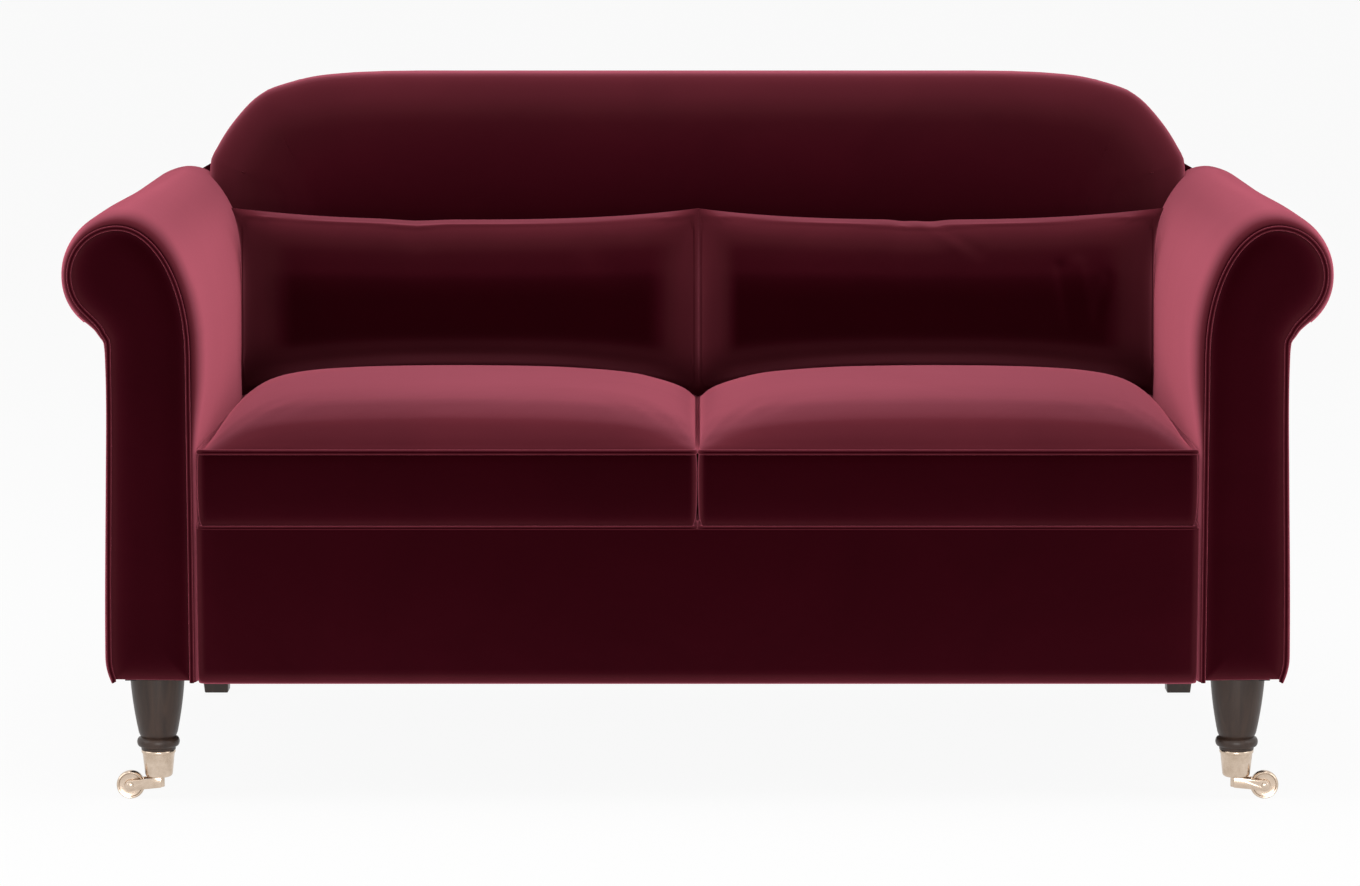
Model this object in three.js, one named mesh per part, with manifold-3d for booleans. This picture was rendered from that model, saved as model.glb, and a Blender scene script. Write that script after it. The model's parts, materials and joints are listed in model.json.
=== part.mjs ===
// A two-seat sofa with rolled arms, built as an upholsterer would: a timber frame,
// springs and webbing, padded covers over it, loose cushions, and turned front legs
// on brass castors. Millimetres, +Z up, the front faces -Y, origin on the floor
// under the middle. Pieces of the right-hand side (+X) are modelled and mirrored.
import * as THREE from "three";
import { mergeVertices } from "three/addons/utils/BufferGeometryUtils.js";
import Module from "manifold-3d";

const wasm = await Module();
wasm.setup();

// Overall driving dimensions
const bayWidth = 1224; // between the inside faces of the arms
const lowDepth = 785; // front facing plane to the rear plane, at the foot of the body
const backLean = THREE.MathUtils.degToRad(6); // of the rear plane
const armTop = 722; // floor to the top of the padded roll
const backRise = 135; // of the top of the back above the arms
const armFoot = 155; // floor to the lower edge of the arms
const deckHeight = 346.7; // floor to the front edge of the seat deck
const rake = THREE.MathUtils.degToRad(1); // fall of the seat towards the back
const clearance = 0.3; // between pieces that touch
const overrun = 20; // of a cutter past what it cuts

// Arm
const coverShow = 8; // of padding outside the line of the facing
const padThickness = 26;
const rollSetOut = 83.3; // roll centre from the inside line of the facing
const rollRadius = 59;
const springDrop = 162; // from the top of the arm to where its inside face starts to curve over
const armWidth = 98; // facing, across its straight lower part
const underRollRadius = 45;
const seamShare = 0.5; // of the straight under the roll, where the padding ends
const tuckIn = 7;
const tuckHeight = 30;
const facingThickness = 14;
const facingLap = 3.6; // of the facing past its piping line
const padFrontRound = 14;
const outerShow = 6;
const outerThickness = 12;
const outerFrontRound = 9;
const frontRoundShares = [0.79, 0.9, 0.975, 1]; // sines of the steps round a front edge
const pipingRadius = 3;
const pipingTail = 5;

// Back
const backThicknessLow = 160;
const frontLean = THREE.MathUtils.degToRad(8);
const backFootDrop = 10.7; // of the back's padding below the seat deck
const shoulderInset = 23.3; // of the back's shoulder inside the middle of the roll
const cornerWidthShares = [1, 0.976, 0.937, 0.862, 0.761, 0.64, 0.499];
const cornerHeightShares = [0, 0.253, 0.547, 0.839, 0.957, 0.996, 1];
const topRound = 52;
const rearRound = 20;
const sideRound = 12;
const backCrown = 8;
const backFaceShares = [0.4, 0.8];
const panelThickness = 6;
const frameThickness = 30;
const webThickness = 2;
const webWidth = 50;
const webCount = 3;
const topRailDepth = 100;
const topPadding = 28;

// Timber
const board = 22;
const boardSetBack = 15;
const railThickness = 28;
const postWidth = 43;
const postDrop = 127.3; // of the posts' tops below the top of the back
const sideRailDrop = 36.7; // of the side rail's top below the front of the deck
const blockHeight = 45;
const blockLength = 84;
const armRailWidth = 40;
const armRailHeight = 28;
const armRailDrop = 15; // of the arm rail's foot below the middle of the roll
const tuckRailLift = 5.3; // above the front edge of the seat deck
const tuckRailHeight = 45;
const centreRailWidth = 45;
const centreRailHeight = 60;

// Seat
const borderDrop = 5; // of the border's foot below the arms
const borderFront = 1;
const borderThickness = 20.7;
const borderRound = 8;
const borderCorner = 10;
const deckThickness = 22;
const wireRadius = 2;
const springCount = 5;
const springWaves = 10;
const springSwing = 20;
const springWaveSteps = 4;
const wireSides = 4;
const dustCoverThickness = 1.5;
const dustCoverMargin = 3;

// Seat cushion
const cushionBorder = 93;
const cushionTuck = 15; // of the cushion under the back's lean
const cushionCrown = 75;
const crownPeakShare = 0.47; // of the depth, from the front
const cushionCorner = 22;
const cushionPull = 3;
const beadRadius = 3;
const borderHollow = 4;
const borderShares = [[0.09, 1], [0.28, 0.3], [0.5, 0], [0.72, 0.3], [0.91, 1]]; // height, hollow
const beadShares = [-0.5, -1 / 6, 1 / 6, 0.5]; // of a half turn
const undersideInset = 9;
const crownShares = [1, 0.98, 0.94, 0.87, 0.74, 0.55, 0.3];
const cushionSideSteps = 6;

// Lumbar cushion
const lumbarHeight = 230;
const lumbarThickness = 134;
const lumbarLift = 13.3; // above the border of the seat cushion
const lumbarCorner = 26;
const lumbarTopSag = 12;
const lumbarPull = 4;
const earReach = 6;
const lumbarFullness = 2.4;
const lumbarShares = [0.3, 0.55, 0.75, 0.88, 0.96];

// Legs and castors
const legInset = 50; // of the front leg's axis behind the facing plane
const legSetOut = 48; // of the front leg's axis from the inside line of the facing
const legRadius = 33.6;
const legShoulderRadius = 31.5;
const legWaistRadius = 24;
const legWaistHeight = 84;
const beadRingRadius = 26.2;
const beadRingHeight = 72;
const beadRingHalf = 6.5;
const beadRingShares = [-1, -0.5, 0, 0.5, 1]; // of its half height
const legNeckRadius = 21.5;
const cupTop = 62;
const cupFoot = 28;
const cupTopRadius = 20.2;
const cupFootRadius = 17;
const cupWall = 1.6;
const cupFloor = 2.4;
const cupRimHeight = 4;
const cupRimRadius = 21;
const pivotRadius = 3.8;
const pivotBore = 4.4;
const pivotHeadRadius = 7;
const pivotHeadHeight = 2;
const trail = 35; // wheel axle from the pivot
const wheelRadius = 17.5;
const wheelWidth = 12;
const hubRadius = 6.5;
const wheelDish = 1.6;
const axleRadius = 2.5;
const axleBore = 2.9;
const axleHeadRadius = 4.2;
const axleHeadHeight = 1.4;
const forkThickness = 2.6;
const forkGap = 0.9;
const hornRadius = 7;
const hornFoot = 15;
const boltRadius = 4;
const boltBore = 4.4;
const boltDepth = 30;
const rearLegTop = 52;
const rearLegFoot = 32;
const rearLegSplay = 60;
const legSteps = 6;

// Facets
const curveSteps = 12;
const roundShares = [0, 1 / 3, 2 / 3, 1]; // of a quarter turn
const cornerSteps = 2;
const rollSteps = 16;
const filletSteps = 4;
const turnedSides = 20;
const wheelSides = 24;
const pipingSides = 6;
const pipingSteps = 64;

// Places that follow from the sizes
const roundTurns = roundShares.map((share) => (share * Math.PI) / 2);
const beadTurns = beadShares.map((share) => share * Math.PI);
const insideFace = bayWidth / 2;
const backHeight = armTop + backRise;
const facingInside = insideFace + coverShow;
const facingOutside = facingInside + armWidth;
const facingTop = armTop - coverShow;
const rollX = facingInside + rollSetOut;
const rollZ = facingTop - rollRadius;
const springLine = armTop - springDrop;
const backFoot = deckHeight - backFootDrop;
const borderFoot = armFoot - borderDrop;
const backShoulder = rollX - shoulderInset;
const postHeight = backHeight - postDrop;
const armRailBase = rollZ - armRailDrop;
const tuckRailBase = deckHeight + tuckRailLift;
const cushionDepth = lowDepth - backThicknessLow + cushionTuck;
const lumbarFoot = deckHeight + cushionBorder + lumbarLift;
const legReach = facingInside + legSetOut;
const rearReach = lowDepth + (backHeight - armFoot) * Math.tan(backLean);
const pipingProud = 2 * pipingRadius + clearance;
const facingY = -(rearReach - pipingProud) / 2;
const padInner = coverShow - padThickness;
const timberInside = facingInside - padInner + clearance;
const timberOutside = facingOutside - outerThickness + outerShow - clearance;
const railEnd = timberInside - clearance;
const boardFoot = armFoot;
const blockTop = boardFoot + blockHeight;
const panelFront = panelThickness + clearance;

// The place along Y of a plane this far behind the arm facings.
const behind = (distance) => facingY + distance;

// How far the rear plane of the sofa stands behind the facings at a height.
const rearAt = (height) => lowDepth + (height - armFoot) * Math.tan(backLean);

const velvet = () => new THREE.MeshStandardMaterial({ color: 0x4a0a18, roughness: 0.95 });
const timber = () => new THREE.MeshStandardMaterial({ color: 0xb58f63, roughness: 0.8 });
const darkWood = () => new THREE.MeshStandardMaterial({ color: 0x3a2a22, roughness: 0.45 });
const brass = () =>
  new THREE.MeshStandardMaterial({ color: 0xc9ab8c, roughness: 0.3, metalness: 1 });
const steel = () =>
  new THREE.MeshStandardMaterial({ color: 0x9a9a98, roughness: 0.4, metalness: 1 });
const hessian = () => new THREE.MeshStandardMaterial({ color: 0x8a7a5c, roughness: 1 });
const lining = () => new THREE.MeshStandardMaterial({ color: 0x16161a, roughness: 1 });

const sofa = new THREE.Group();

// Solid tools

// Turns the faces of an indexed geometry to the other side.
function reversed(geometry) {
  const index = Array.from(geometry.index.array);
  for (let i = 0; i < index.length; i += 3) {
    [index[i + 1], index[i + 2]] = [index[i + 2], index[i + 1]];
  }
  geometry.setIndex(index);
  return geometry;
}

function volumeOf(geometry) {
  const at = geometry.getAttribute("position");
  const corner = (i) => new THREE.Vector3().fromBufferAttribute(at, geometry.index.array[i]);
  let sum = 0;
  for (let i = 0; i < geometry.index.count; i += 3) {
    sum += corner(i).dot(corner(i + 1).cross(corner(i + 2)));
  }
  return sum / 6;
}

// Fills a ring from its middle.
function fan(ring, start, index, points) {
  const middle = ring.reduce((sum, p) => sum.add(p), new THREE.Vector3());
  points.push(middle.divideScalar(ring.length));
  ring.forEach((_, i) => index.push(start + i, start + ((i + 1) % ring.length), points.length - 1));
}

// Fills a ring that runs out along one side of a strip and back along the other.
function strip(ring, start, index) {
  const last = ring.length - 1;
  for (let i = 0; i < last / 2 - 1; i++) {
    index.push(start + i, start + i + 1, start + last - i - 1);
    index.push(start + i, start + last - i - 1, start + last - i);
  }
}

// A closed skin through rings that all have the same count of points, its two end
// rings filled by fan or strip.
function skin(rings, fill = fan) {
  const count = rings[0].length;
  const points = rings.flat();
  const index = [];
  fill(rings[0], 0, index, points);
  for (let i = 0; i < index.length; i += 3) {
    [index[i + 1], index[i + 2]] = [index[i + 2], index[i + 1]];
  }
  for (let r = 0; r < rings.length - 1; r++) {
    for (let i = 0; i < count; i++) {
      const next = (i + 1) % count;
      const low = r * count;
      const high = low + count;
      index.push(low + i, low + next, high + next);
      index.push(low + i, high + next, high + i);
    }
  }
  fill(rings.at(-1), (rings.length - 1) * count, index, points);
  const geometry = new THREE.BufferGeometry().setFromPoints(points);
  geometry.setIndex(index);
  return volumeOf(geometry) < 0 ? reversed(geometry) : geometry;
}

// A copy of a geometry with positions alone, its shared corners made one.
function welded(geometry) {
  const bare = geometry.clone();
  bare.deleteAttribute("normal");
  bare.deleteAttribute("uv");
  return mergeVertices(bare);
}

function solidOf(geometry) {
  const merged = welded(geometry);
  return new wasm.Manifold(
    new wasm.Mesh({
      numProp: 3,
      vertProperties: merged.getAttribute("position").array,
      triVerts: new Uint32Array(merged.index.array),
    }),
  );
}

function geometryOf(solid) {
  const mesh = solid.getMesh();
  const geometry = new THREE.BufferGeometry();
  geometry.setAttribute("position", new THREE.BufferAttribute(mesh.vertProperties, 3));
  geometry.setIndex(new THREE.BufferAttribute(mesh.triVerts, 1));
  return geometry;
}

const cut = (geometry, ...cutters) =>
  geometryOf(cutters.reduce((rest, cutter) => rest.subtract(solidOf(cutter)), solidOf(geometry)));

const joined = (...pieces) =>
  geometryOf(pieces.map(solidOf).reduce((whole, piece) => whole.add(piece)));

// A block between two heights, two depths behind the facings and two places along X.
function block(x0, x1, front, rear, z0, z1) {
  const geometry = new THREE.BoxGeometry(x1 - x0, rear - front, z1 - z0);
  return geometry.translate((x0 + x1) / 2, behind((front + rear) / 2), (z0 + z1) / 2);
}

// An outline in X and Z, given thickness between two depths behind the facings.
function sawn(outline, front, rear) {
  const shape = new THREE.Shape(outline);
  const geometry = new THREE.ExtrudeGeometry(shape, { depth: rear - front, bevelEnabled: false });
  return geometry.rotateX(Math.PI / 2).translate(0, behind(rear), 0);
}

// An outline of depths behind the facings and heights, given width between two X.
function rail(outline, x0, x1) {
  const shape = new THREE.Shape(outline.map((p) => point(behind(p.x), p.y)));
  const geometry = new THREE.ExtrudeGeometry(shape, { depth: x1 - x0, bevelEnabled: false });
  const turn = new THREE.Matrix4().makeBasis(
    new THREE.Vector3(0, 1, 0),
    new THREE.Vector3(0, 0, 1),
    new THREE.Vector3(1, 0, 0),
  );
  return geometry.applyMatrix4(turn).translate(x0, 0, 0);
}

// A turned piece about a vertical axis, from radii and heights.
function turned(profile, sides) {
  const lathe = new THREE.LatheGeometry(profile.map(([r, z]) => point(r, z)), sides);
  const geometry = welded(lathe).rotateX(Math.PI / 2);
  return volumeOf(geometry) < 0 ? reversed(geometry) : geometry;
}

// Leans a geometry whose rear was modelled upright at the foot of the rear plane.
function leaned(geometry) {
  const at = geometry.getAttribute("position");
  for (let i = 0; i < at.count; i++) {
    at.setY(i, at.getY(i) + (at.getZ(i) - armFoot) * Math.tan(backLean));
  }
  return geometry;
}

const mirrored = (geometry) => reversed(welded(geometry).scale(-1, 1, 1));

function add(name, geometry, material, parent = sofa) {
  const mesh = new THREE.Mesh(geometry, material);
  mesh.name = name;
  parent.add(mesh);
  return mesh;
}

// Adds a right-hand piece and its mirror image on the left.
function addPair(name, geometry, material) {
  add(`${name}_right`, geometry, material());
  add(`${name}_left`, mirrored(geometry), material());
}

// Outlines

const point = (x, z) => new THREE.Vector2(x, z);

// Points moved square to their path; positive is to the left of the way it runs.
function offset(path, distance) {
  return path.map((p, i) => {
    const before = path[Math.max(i - 1, 0)];
    const after = path[Math.min(i + 1, path.length - 1)];
    const along = after.clone().sub(before).normalize();
    const by = typeof distance === "function" ? distance(i) : distance;
    return point(p.x - along.y * by, p.y + along.x * by);
  });
}

// A round section of this many sides, for what is drawn along a path.
function roundSection(radius, sides) {
  const corners = Array.from({ length: sides }, (_, i) => (2 * Math.PI * i) / sides);
  return new THREE.Shape(corners.map((a) => point(radius * Math.cos(a), radius * Math.sin(a))));
}

const chain = (...parts) =>
  parts.flat().filter((p, i, all) => i === 0 || p.distanceTo(all[i - 1]) > clearance);

// The straight under the roll, between the roll's end and the hollow below it.
function underRoll() {
  const reach = facingOutside + underRollRadius * (1 - Math.SQRT1_2);
  const rollEnd = point(rollX + rollRadius * Math.SQRT1_2, rollZ - rollRadius * Math.SQRT1_2);
  const hollowStart = point(reach, rollEnd.y - (rollEnd.x - reach));
  const along = hollowStart.clone().sub(rollEnd).normalize();
  const seam = rollEnd.clone().lerp(hollowStart, seamShare);
  return {
    coverEnd: seam.clone().addScaledVector(along, -clearance / 2),
    outsideStart: seam.clone().addScaledVector(along, clearance / 2),
    hollowStart,
  };
}

// The piping line of the arm, from the foot of its inside face over the roll to the seam.
function coverLine() {
  const inside = new THREE.EllipseCurve(
    rollX, springLine, rollSetOut, facingTop - springLine, Math.PI, Math.PI / 2, true, 0,
  );
  const roll = new THREE.EllipseCurve(
    rollX, rollZ, rollRadius, rollRadius, Math.PI / 2, -Math.PI / 4, true, 0,
  );
  const face = [point(facingInside, armFoot), point(facingInside, deckHeight)];
  return chain(
    face, inside.getPoints(curveSteps), roll.getPoints(rollSteps), [underRoll().coverEnd],
  );
}

// The same line down the outside of the arm, from the seam to its foot.
function outsideLine() {
  const { outsideStart, hollowStart } = underRoll();
  const centreZ = hollowStart.y - underRollRadius * Math.SQRT1_2;
  const hollow = new THREE.EllipseCurve(
    facingOutside + underRollRadius, centreZ, underRollRadius, underRollRadius,
    (3 * Math.PI) / 4, Math.PI, false, 0,
  );
  const tuck = new THREE.QuadraticBezierCurve(
    point(facingOutside, armFoot + tuckHeight),
    point(facingOutside, armFoot + tuckHeight / 2),
    point(facingOutside - tuckIn, armFoot),
  );
  return chain([outsideStart], hollow.getPoints(filletSteps), tuck.getPoints(filletSteps));
}

const coverPath = coverLine();
const outsidePath = outsideLine();
const wholePath = chain(coverPath, outsidePath);

// The right-hand half of the back's outline: up beside the arm's padding, over its
// shoulder, and round the corner to the middle of the top.
function backOutline() {
  const overArm = offset(coverPath, coverShow + clearance).filter(
    (p) => p.y > backFoot && p.x < backShoulder,
  );
  const beside = overArm.filter((p, i) => i === 0 || p.x >= overArm[i - 1].x);
  const shoulder = beside.at(-1);
  const rise = backHeight - shoulder.y;
  const corner = new THREE.SplineCurve(
    cornerWidthShares.map((share, i) =>
      point(shoulder.x * share, shoulder.y + rise * cornerHeightShares[i]),
    ),
  );
  return {
    beside: chain([point(insideFace - clearance, backFoot)], beside),
    corner: corner.getPoints(curveSteps),
  };
}

const { beside: besideArm, corner: backCorner } = backOutline();
const half = chain(besideArm, backCorner);
const backRing = [...half, ...half.map((p) => point(-p.x, p.y)).reverse()];

// Arms

const stripRing = (outer, inner, yOuter, yInner) => [
  ...outer.map((p) => new THREE.Vector3(p.x, yOuter(p.y), p.y)),
  ...inner.map((p) => new THREE.Vector3(p.x, yInner(p.y), p.y)).reverse(),
];

// A cover along a path of the arm: rounded at the front, with a lip in front of the
// facing's edge, thicker behind the facing, and cut off at the rear panel.
function cover(path, show, thickness, round) {
  const lip = facingLap + clearance;
  const at = (distance) => () => behind(distance);
  const rear = (z) => behind(rearAt(z) - panelFront);
  const rings = frontRoundShares.map((share) => {
    const out = show - round * (1 - share);
    const back = round * (1 - Math.sqrt(1 - share * share));
    return stripRing(offset(path, out), offset(path, lip), at(back), at(back));
  });
  const behindFacing = facingThickness + clearance;
  const inner = offset(path, show - thickness);
  const outer = offset(path, show);
  rings.push(stripRing(outer, offset(path, lip), at(behindFacing), at(behindFacing)));
  rings.push(stripRing(outer, inner, at(behindFacing + coverShow), at(behindFacing)));
  rings.push(stripRing(outer, inner, rear, rear));
  return skin(rings, strip);
}

function armPad() {
  const pad = cover(coverPath, coverShow, padThickness, padFrontRound);
  const underDeck = block(
    insideFace - overrun, timberInside - clearance,
    facingThickness, rearReach, armFoot - overrun, deckHeight + clearance,
  );
  const postRoom = leaned(
    block(
      insideFace - overrun, timberInside - clearance,
      lowDepth - panelFront - frameThickness - clearance, lowDepth + overrun,
      armFoot, armTop + overrun,
    ),
  );
  return cut(pad, underDeck, postRoom);
}

function facing() {
  const outline = offset(wholePath, facingLap);
  return sawn(outline, 0, facingThickness);
}

function facingPiping() {
  const middle = behind(-pipingRadius - clearance);
  const line = wholePath.map((p) => new THREE.Vector3(p.x, middle, p.y));
  const first = line[0].clone().setZ(armFoot - pipingTail);
  const last = line.at(-1).clone().setZ(armFoot - pipingTail);
  const route = new THREE.CatmullRomCurve3([first, ...line, last]);
  return new THREE.ExtrudeGeometry(roundSection(pipingRadius, pipingSides), {
    steps: pipingSteps,
    bevelEnabled: false,
    extrudePath: route,
  });
}

// The board behind the facing: scroll-shaped, its edges backing the covers.
function scrollOutline() {
  const inner = offset(coverPath, padInner - clearance);
  const outer = offset(outsidePath, (i) =>
    i <= filletSteps ? padInner - clearance : outerShow - outerThickness - clearance,
  );
  return chain(inner, outer);
}

addPair("arm_pad", armPad(), velvet);
addPair("outside_arm", cover(outsidePath, outerShow, outerThickness, outerFrontRound), velvet);
addPair("arm_facing", facing(), velvet);
addPair("facing_piping", facingPiping(), velvet);

// Timber frame

const seatPlane = (distance, drop) => deckHeight - distance * Math.tan(rake) - drop;
const springSeat = deckThickness + 2 * wireRadius + 2 * clearance;
const boardRear = boardSetBack + board;
const frameRear = lowDepth - panelFront;
const frameFront = frameRear - frameThickness;
const postOutside = timberInside - 2 * clearance;
const postInside = postOutside - postWidth;
const blockOutside = timberOutside - tuckIn;
const frontRailFront = borderFront + borderThickness + clearance;
const frontRailRear = frontRailFront + railThickness;
const leanAt = (height) => rearAt(height) - lowDepth;

// A length of timber between the front and a leaning piece at the rear.
const lengthwise = (front, rear, foot, top) => [
  point(front, foot),
  point(rear + leanAt(foot) - clearance, foot),
  point(rear + leanAt(top) - clearance, top),
  point(front, top),
];

function rearBoardOutline() {
  return chain(
    [point(postInside, armFoot), point(postInside, postHeight)],
    [point(postOutside, postHeight), point(postOutside, springLine - clearance)],
    scrollOutline().filter((p) => p.x > rollX || p.y > springLine - clearance),
  );
}

function topRail() {
  const arch = offset(half, topPadding + clearance).filter(
    (p) => p.y > postHeight + clearance && p.x < postOutside,
  );
  const right = [point(postOutside, postHeight + clearance), ...arch];
  return sawn(
    [...right, ...right.map((p) => point(-p.x, p.y)).reverse()], frameFront, frameRear,
  );
}

const backRailTop = seatPlane(lowDepth, springSeat);
const frontRailTop = seatPlane(frontRailRear, springSeat);

addPair("arm_front_board", sawn(scrollOutline(), boardSetBack, boardRear), timber);
addPair("rear_board", leaned(sawn(rearBoardOutline(), frameFront, frameRear)), timber);
addPair(
  "arm_top_rail",
  rail(
    lengthwise(boardRear + clearance, frameFront, armRailBase, armRailBase + armRailHeight),
    rollX - armRailWidth / 2, rollX + armRailWidth / 2,
  ),
  timber,
);
addPair(
  "side_rail",
  rail(
    lengthwise(
      boardRear + clearance, frameFront, blockTop + clearance, deckHeight - sideRailDrop,
    ),
    timberInside, timberInside + railThickness,
  ),
  timber,
);
add(
  "front_rail",
  block(-railEnd, railEnd, frontRailFront, frontRailRear, armFoot, frontRailTop),
  timber(),
);
add(
  "back_rail",
  leaned(
    block(
      -postInside + clearance, postInside - clearance,
      frameRear - railThickness, frameRear, armFoot, backRailTop,
    ),
  ),
  timber(),
);
add(
  "tuck_rail",
  leaned(
    block(
      -postInside + clearance, postInside - clearance,
      frameFront, frameRear, tuckRailBase, tuckRailBase + tuckRailHeight,
    ),
  ),
  timber(),
);
add("back_top_rail", leaned(topRail()), timber());
add(
  "centre_rail",
  rail(
    lengthwise(
      frontRailRear + clearance, frameRear - railThickness, armFoot, armFoot + centreRailHeight,
    ),
    -centreRailWidth / 2, centreRailWidth / 2,
  ),
  timber(),
);

// Back

const frontAt = (height) =>
  lowDepth - backThicknessLow + (height - armFoot) * Math.tan(frontLean);

// The padded back: crowned in front, rounded over the top, hollow behind for its frame.
function backPad() {
  const tip = backCorner[0].y;
  const free = (p) => THREE.MathUtils.clamp((p.y - tip) / (backHeight - tip), 0, 1);
  const closedOffset = (by) =>
    backRing.map((p, i) => {
      const before = backRing.at(i - 1);
      const after = backRing[(i + 1) % backRing.length];
      const along = after.clone().sub(before).normalize();
      return point(p.x - along.y * by(p), p.y + along.x * by(p));
    });
  const frontRound = (p) => THREE.MathUtils.lerp(sideRound, topRound, free(p));
  const rearRoundAt = (p) => THREE.MathUtils.lerp(clearance, rearRound, free(p));
  const at = (outline, depthAt) =>
    outline.map((p, i) => new THREE.Vector3(p.x, behind(depthAt(p, backRing[i])), p.y));
  const face = closedOffset(frontRound);
  const middle = point(0, (backFoot + backHeight) / 2);
  const rings = backFaceShares.map((share) =>
    at(face.map((p) => middle.clone().lerp(p, share)), (p) =>
      frontAt(p.y) - backCrown * (1 - share ** 2),
    ),
  );
  for (const turn of roundTurns) {
    rings.push(
      at(closedOffset((p) => frontRound(p) * (1 - Math.sin(turn))), (p, base) =>
        frontAt(p.y) + frontRound(base) * (1 - Math.cos(turn)),
      ),
    );
  }
  for (const turn of roundTurns) {
    rings.push(
      at(closedOffset((p) => rearRoundAt(p) * (1 - Math.cos(turn))), (p, base) =>
        rearAt(p.y) - panelFront - rearRoundAt(base) * (1 - Math.sin(turn)),
      ),
    );
  }
  return cut(skin(rings), frameRoom());
}

// The space for the timber and webbing behind the padded back.
function frameRoom() {
  const wide = postOutside + clearance;
  const arch = offset(half, topPadding).filter((p) => p.y > postHeight && p.x < wide);
  const right = [point(wide, backFoot - overrun), point(wide, postHeight + clearance), ...arch];
  const front = frameFront - webThickness - 2 * clearance;
  const outline = [...right, ...right.map((p) => point(-p.x, p.y)).reverse()];
  return leaned(sawn(outline, front, lowDepth + overrun));
}

// The rear panel follows the arms' scrolls and the arch of the back.
function rearPanel() {
  const arms = [
    ...offset(coverPath, coverShow - clearance).filter((p) => p.x > backShoulder && p.y > armFoot),
    ...offset(outsidePath, outerShow - clearance),
  ].reverse();
  const shoulder = arms.at(-1).y;
  const arch = offset(half, clearance).filter((p) => p.y > shoulder);
  const right = [...arms, ...arch];
  const outline = [...right, ...right.map((p) => point(-p.x, p.y)).reverse()];
  return leaned(sawn(outline, lowDepth - panelThickness, lowDepth));
}

add("back_pad", backPad(), velvet());
add("rear_panel", rearPanel(), velvet());
const webStep = (2 * postInside) / (webCount + 1);
for (let i = 1; i <= webCount; i++) {
  const middle = -postInside + i * webStep;
  const strap = block(
    middle - webWidth / 2, middle + webWidth / 2,
    frameFront - clearance - webThickness, frameFront - clearance,
    tuckRailBase, postHeight + topRailDepth / 2,
  );
  add(`back_webbing_${i}`, leaned(strap), hessian());
}

// Seat

// Points round a rectangle with rounded corners, its sides drawn in at their middles.
function roundedRectangle(halfX, halfZ, radius, pull, perSide, perCorner) {
  const corners = [
    [halfX - radius, halfZ - radius, 0],
    [radius - halfX, halfZ - radius, Math.PI / 2],
    [radius - halfX, radius - halfZ, Math.PI],
    [halfX - radius, radius - halfZ, (3 * Math.PI) / 2],
  ];
  const points = [];
  corners.forEach(([x, z, start], side) => {
    for (let i = 0; i <= perCorner; i++) {
      const turn = start + (i * Math.PI) / 2 / perCorner;
      points.push(point(x + radius * Math.cos(turn), z + radius * Math.sin(turn)));
    }
    const from = points.at(-1);
    const [nextX, nextZ, nextStart] = corners[(side + 1) % corners.length];
    const to = point(
      nextX + radius * Math.cos(nextStart), nextZ + radius * Math.sin(nextStart),
    );
    const inwards = point(-Math.cos(nextStart), -Math.sin(nextStart));
    for (let i = 1; i < perSide; i++) {
      const share = i / perSide;
      const drawn = pull * Math.sin(Math.PI * share);
      points.push(from.clone().lerp(to, share).addScaledVector(inwards, drawn));
    }
  });
  return points;
}

// The upholstered border over the front rail.
function frontBorder() {
  const halfZ = (deckHeight - clearance - borderFoot) / 2;
  const halfX = insideFace - clearance;
  const middle = borderFoot + halfZ;
  const ringAt = (inset, distance) =>
    roundedRectangle(halfX - inset, halfZ - inset, borderCorner, 0, 1, cornerSteps).map(
      (p) => new THREE.Vector3(p.x, behind(distance), middle + p.y),
    );
  const rings = roundTurns.map((turn) =>
    ringAt(borderRound * (1 - Math.sin(turn)), borderFront + borderRound * (1 - Math.cos(turn))),
  );
  rings.push(ringAt(0, borderFront + borderThickness));
  return skin(rings);
}

// A zigzag spring across the seat frame, from the front rail to the back rail.
function zigzagSpring(middle) {
  const front = frontRailRear - railThickness / 2;
  const rear = lowDepth;
  const count = springWaves * springWaveSteps;
  const points = Array.from({ length: count + 1 }, (_, i) => {
    const distance = front + ((rear - front) * i) / count;
    const swing = springSwing * Math.sin((2 * Math.PI * i) / springWaveSteps);
    const height = seatPlane(distance, deckThickness + clearance + wireRadius);
    return new THREE.Vector3(middle + swing, behind(distance), height);
  });
  return new THREE.ExtrudeGeometry(roundSection(wireRadius, wireSides), {
    steps: count * 2,
    bevelEnabled: false,
    extrudePath: new THREE.CatmullRomCurve3(points),
  });
}

const borderRear = borderFront + borderThickness;
add("front_border", frontBorder(), velvet());
add(
  "seat_deck",
  rail(
    [
      point(borderRear + clearance, seatPlane(borderRear, deckThickness)),
      point(frameFront, seatPlane(frameFront, deckThickness)),
      point(frameFront, seatPlane(frameFront, 0)),
      point(borderRear + clearance, seatPlane(borderRear, 0)),
    ],
    -railEnd, railEnd,
  ),
  hessian(),
);
const springStep = (2 * railEnd) / (springCount + 1);
for (let i = 1; i <= springCount; i++) {
  add(`seat_spring_${i}`, zigzagSpring(i * springStep - railEnd), steel());
}

// Loose cushions

// How far the crown of a seat cushion rises, from places in halves of its sides.
function crownAt(across, along) {
  const peak = 2 * crownPeakShare - 1;
  const behindPeak = Math.max(along - peak, 0) / (1 - peak);
  const beforePeak = Math.max(peak - along, 0) / (1 + peak);
  const side = Math.sqrt(1 - Math.min(Math.abs(across), 1) ** 4);
  const front = Math.sqrt(1 - Math.min(beforePeak, 1) ** 4);
  return cushionCrown * side * front * (1 - Math.min(behindPeak, 1) ** 2);
}

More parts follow.
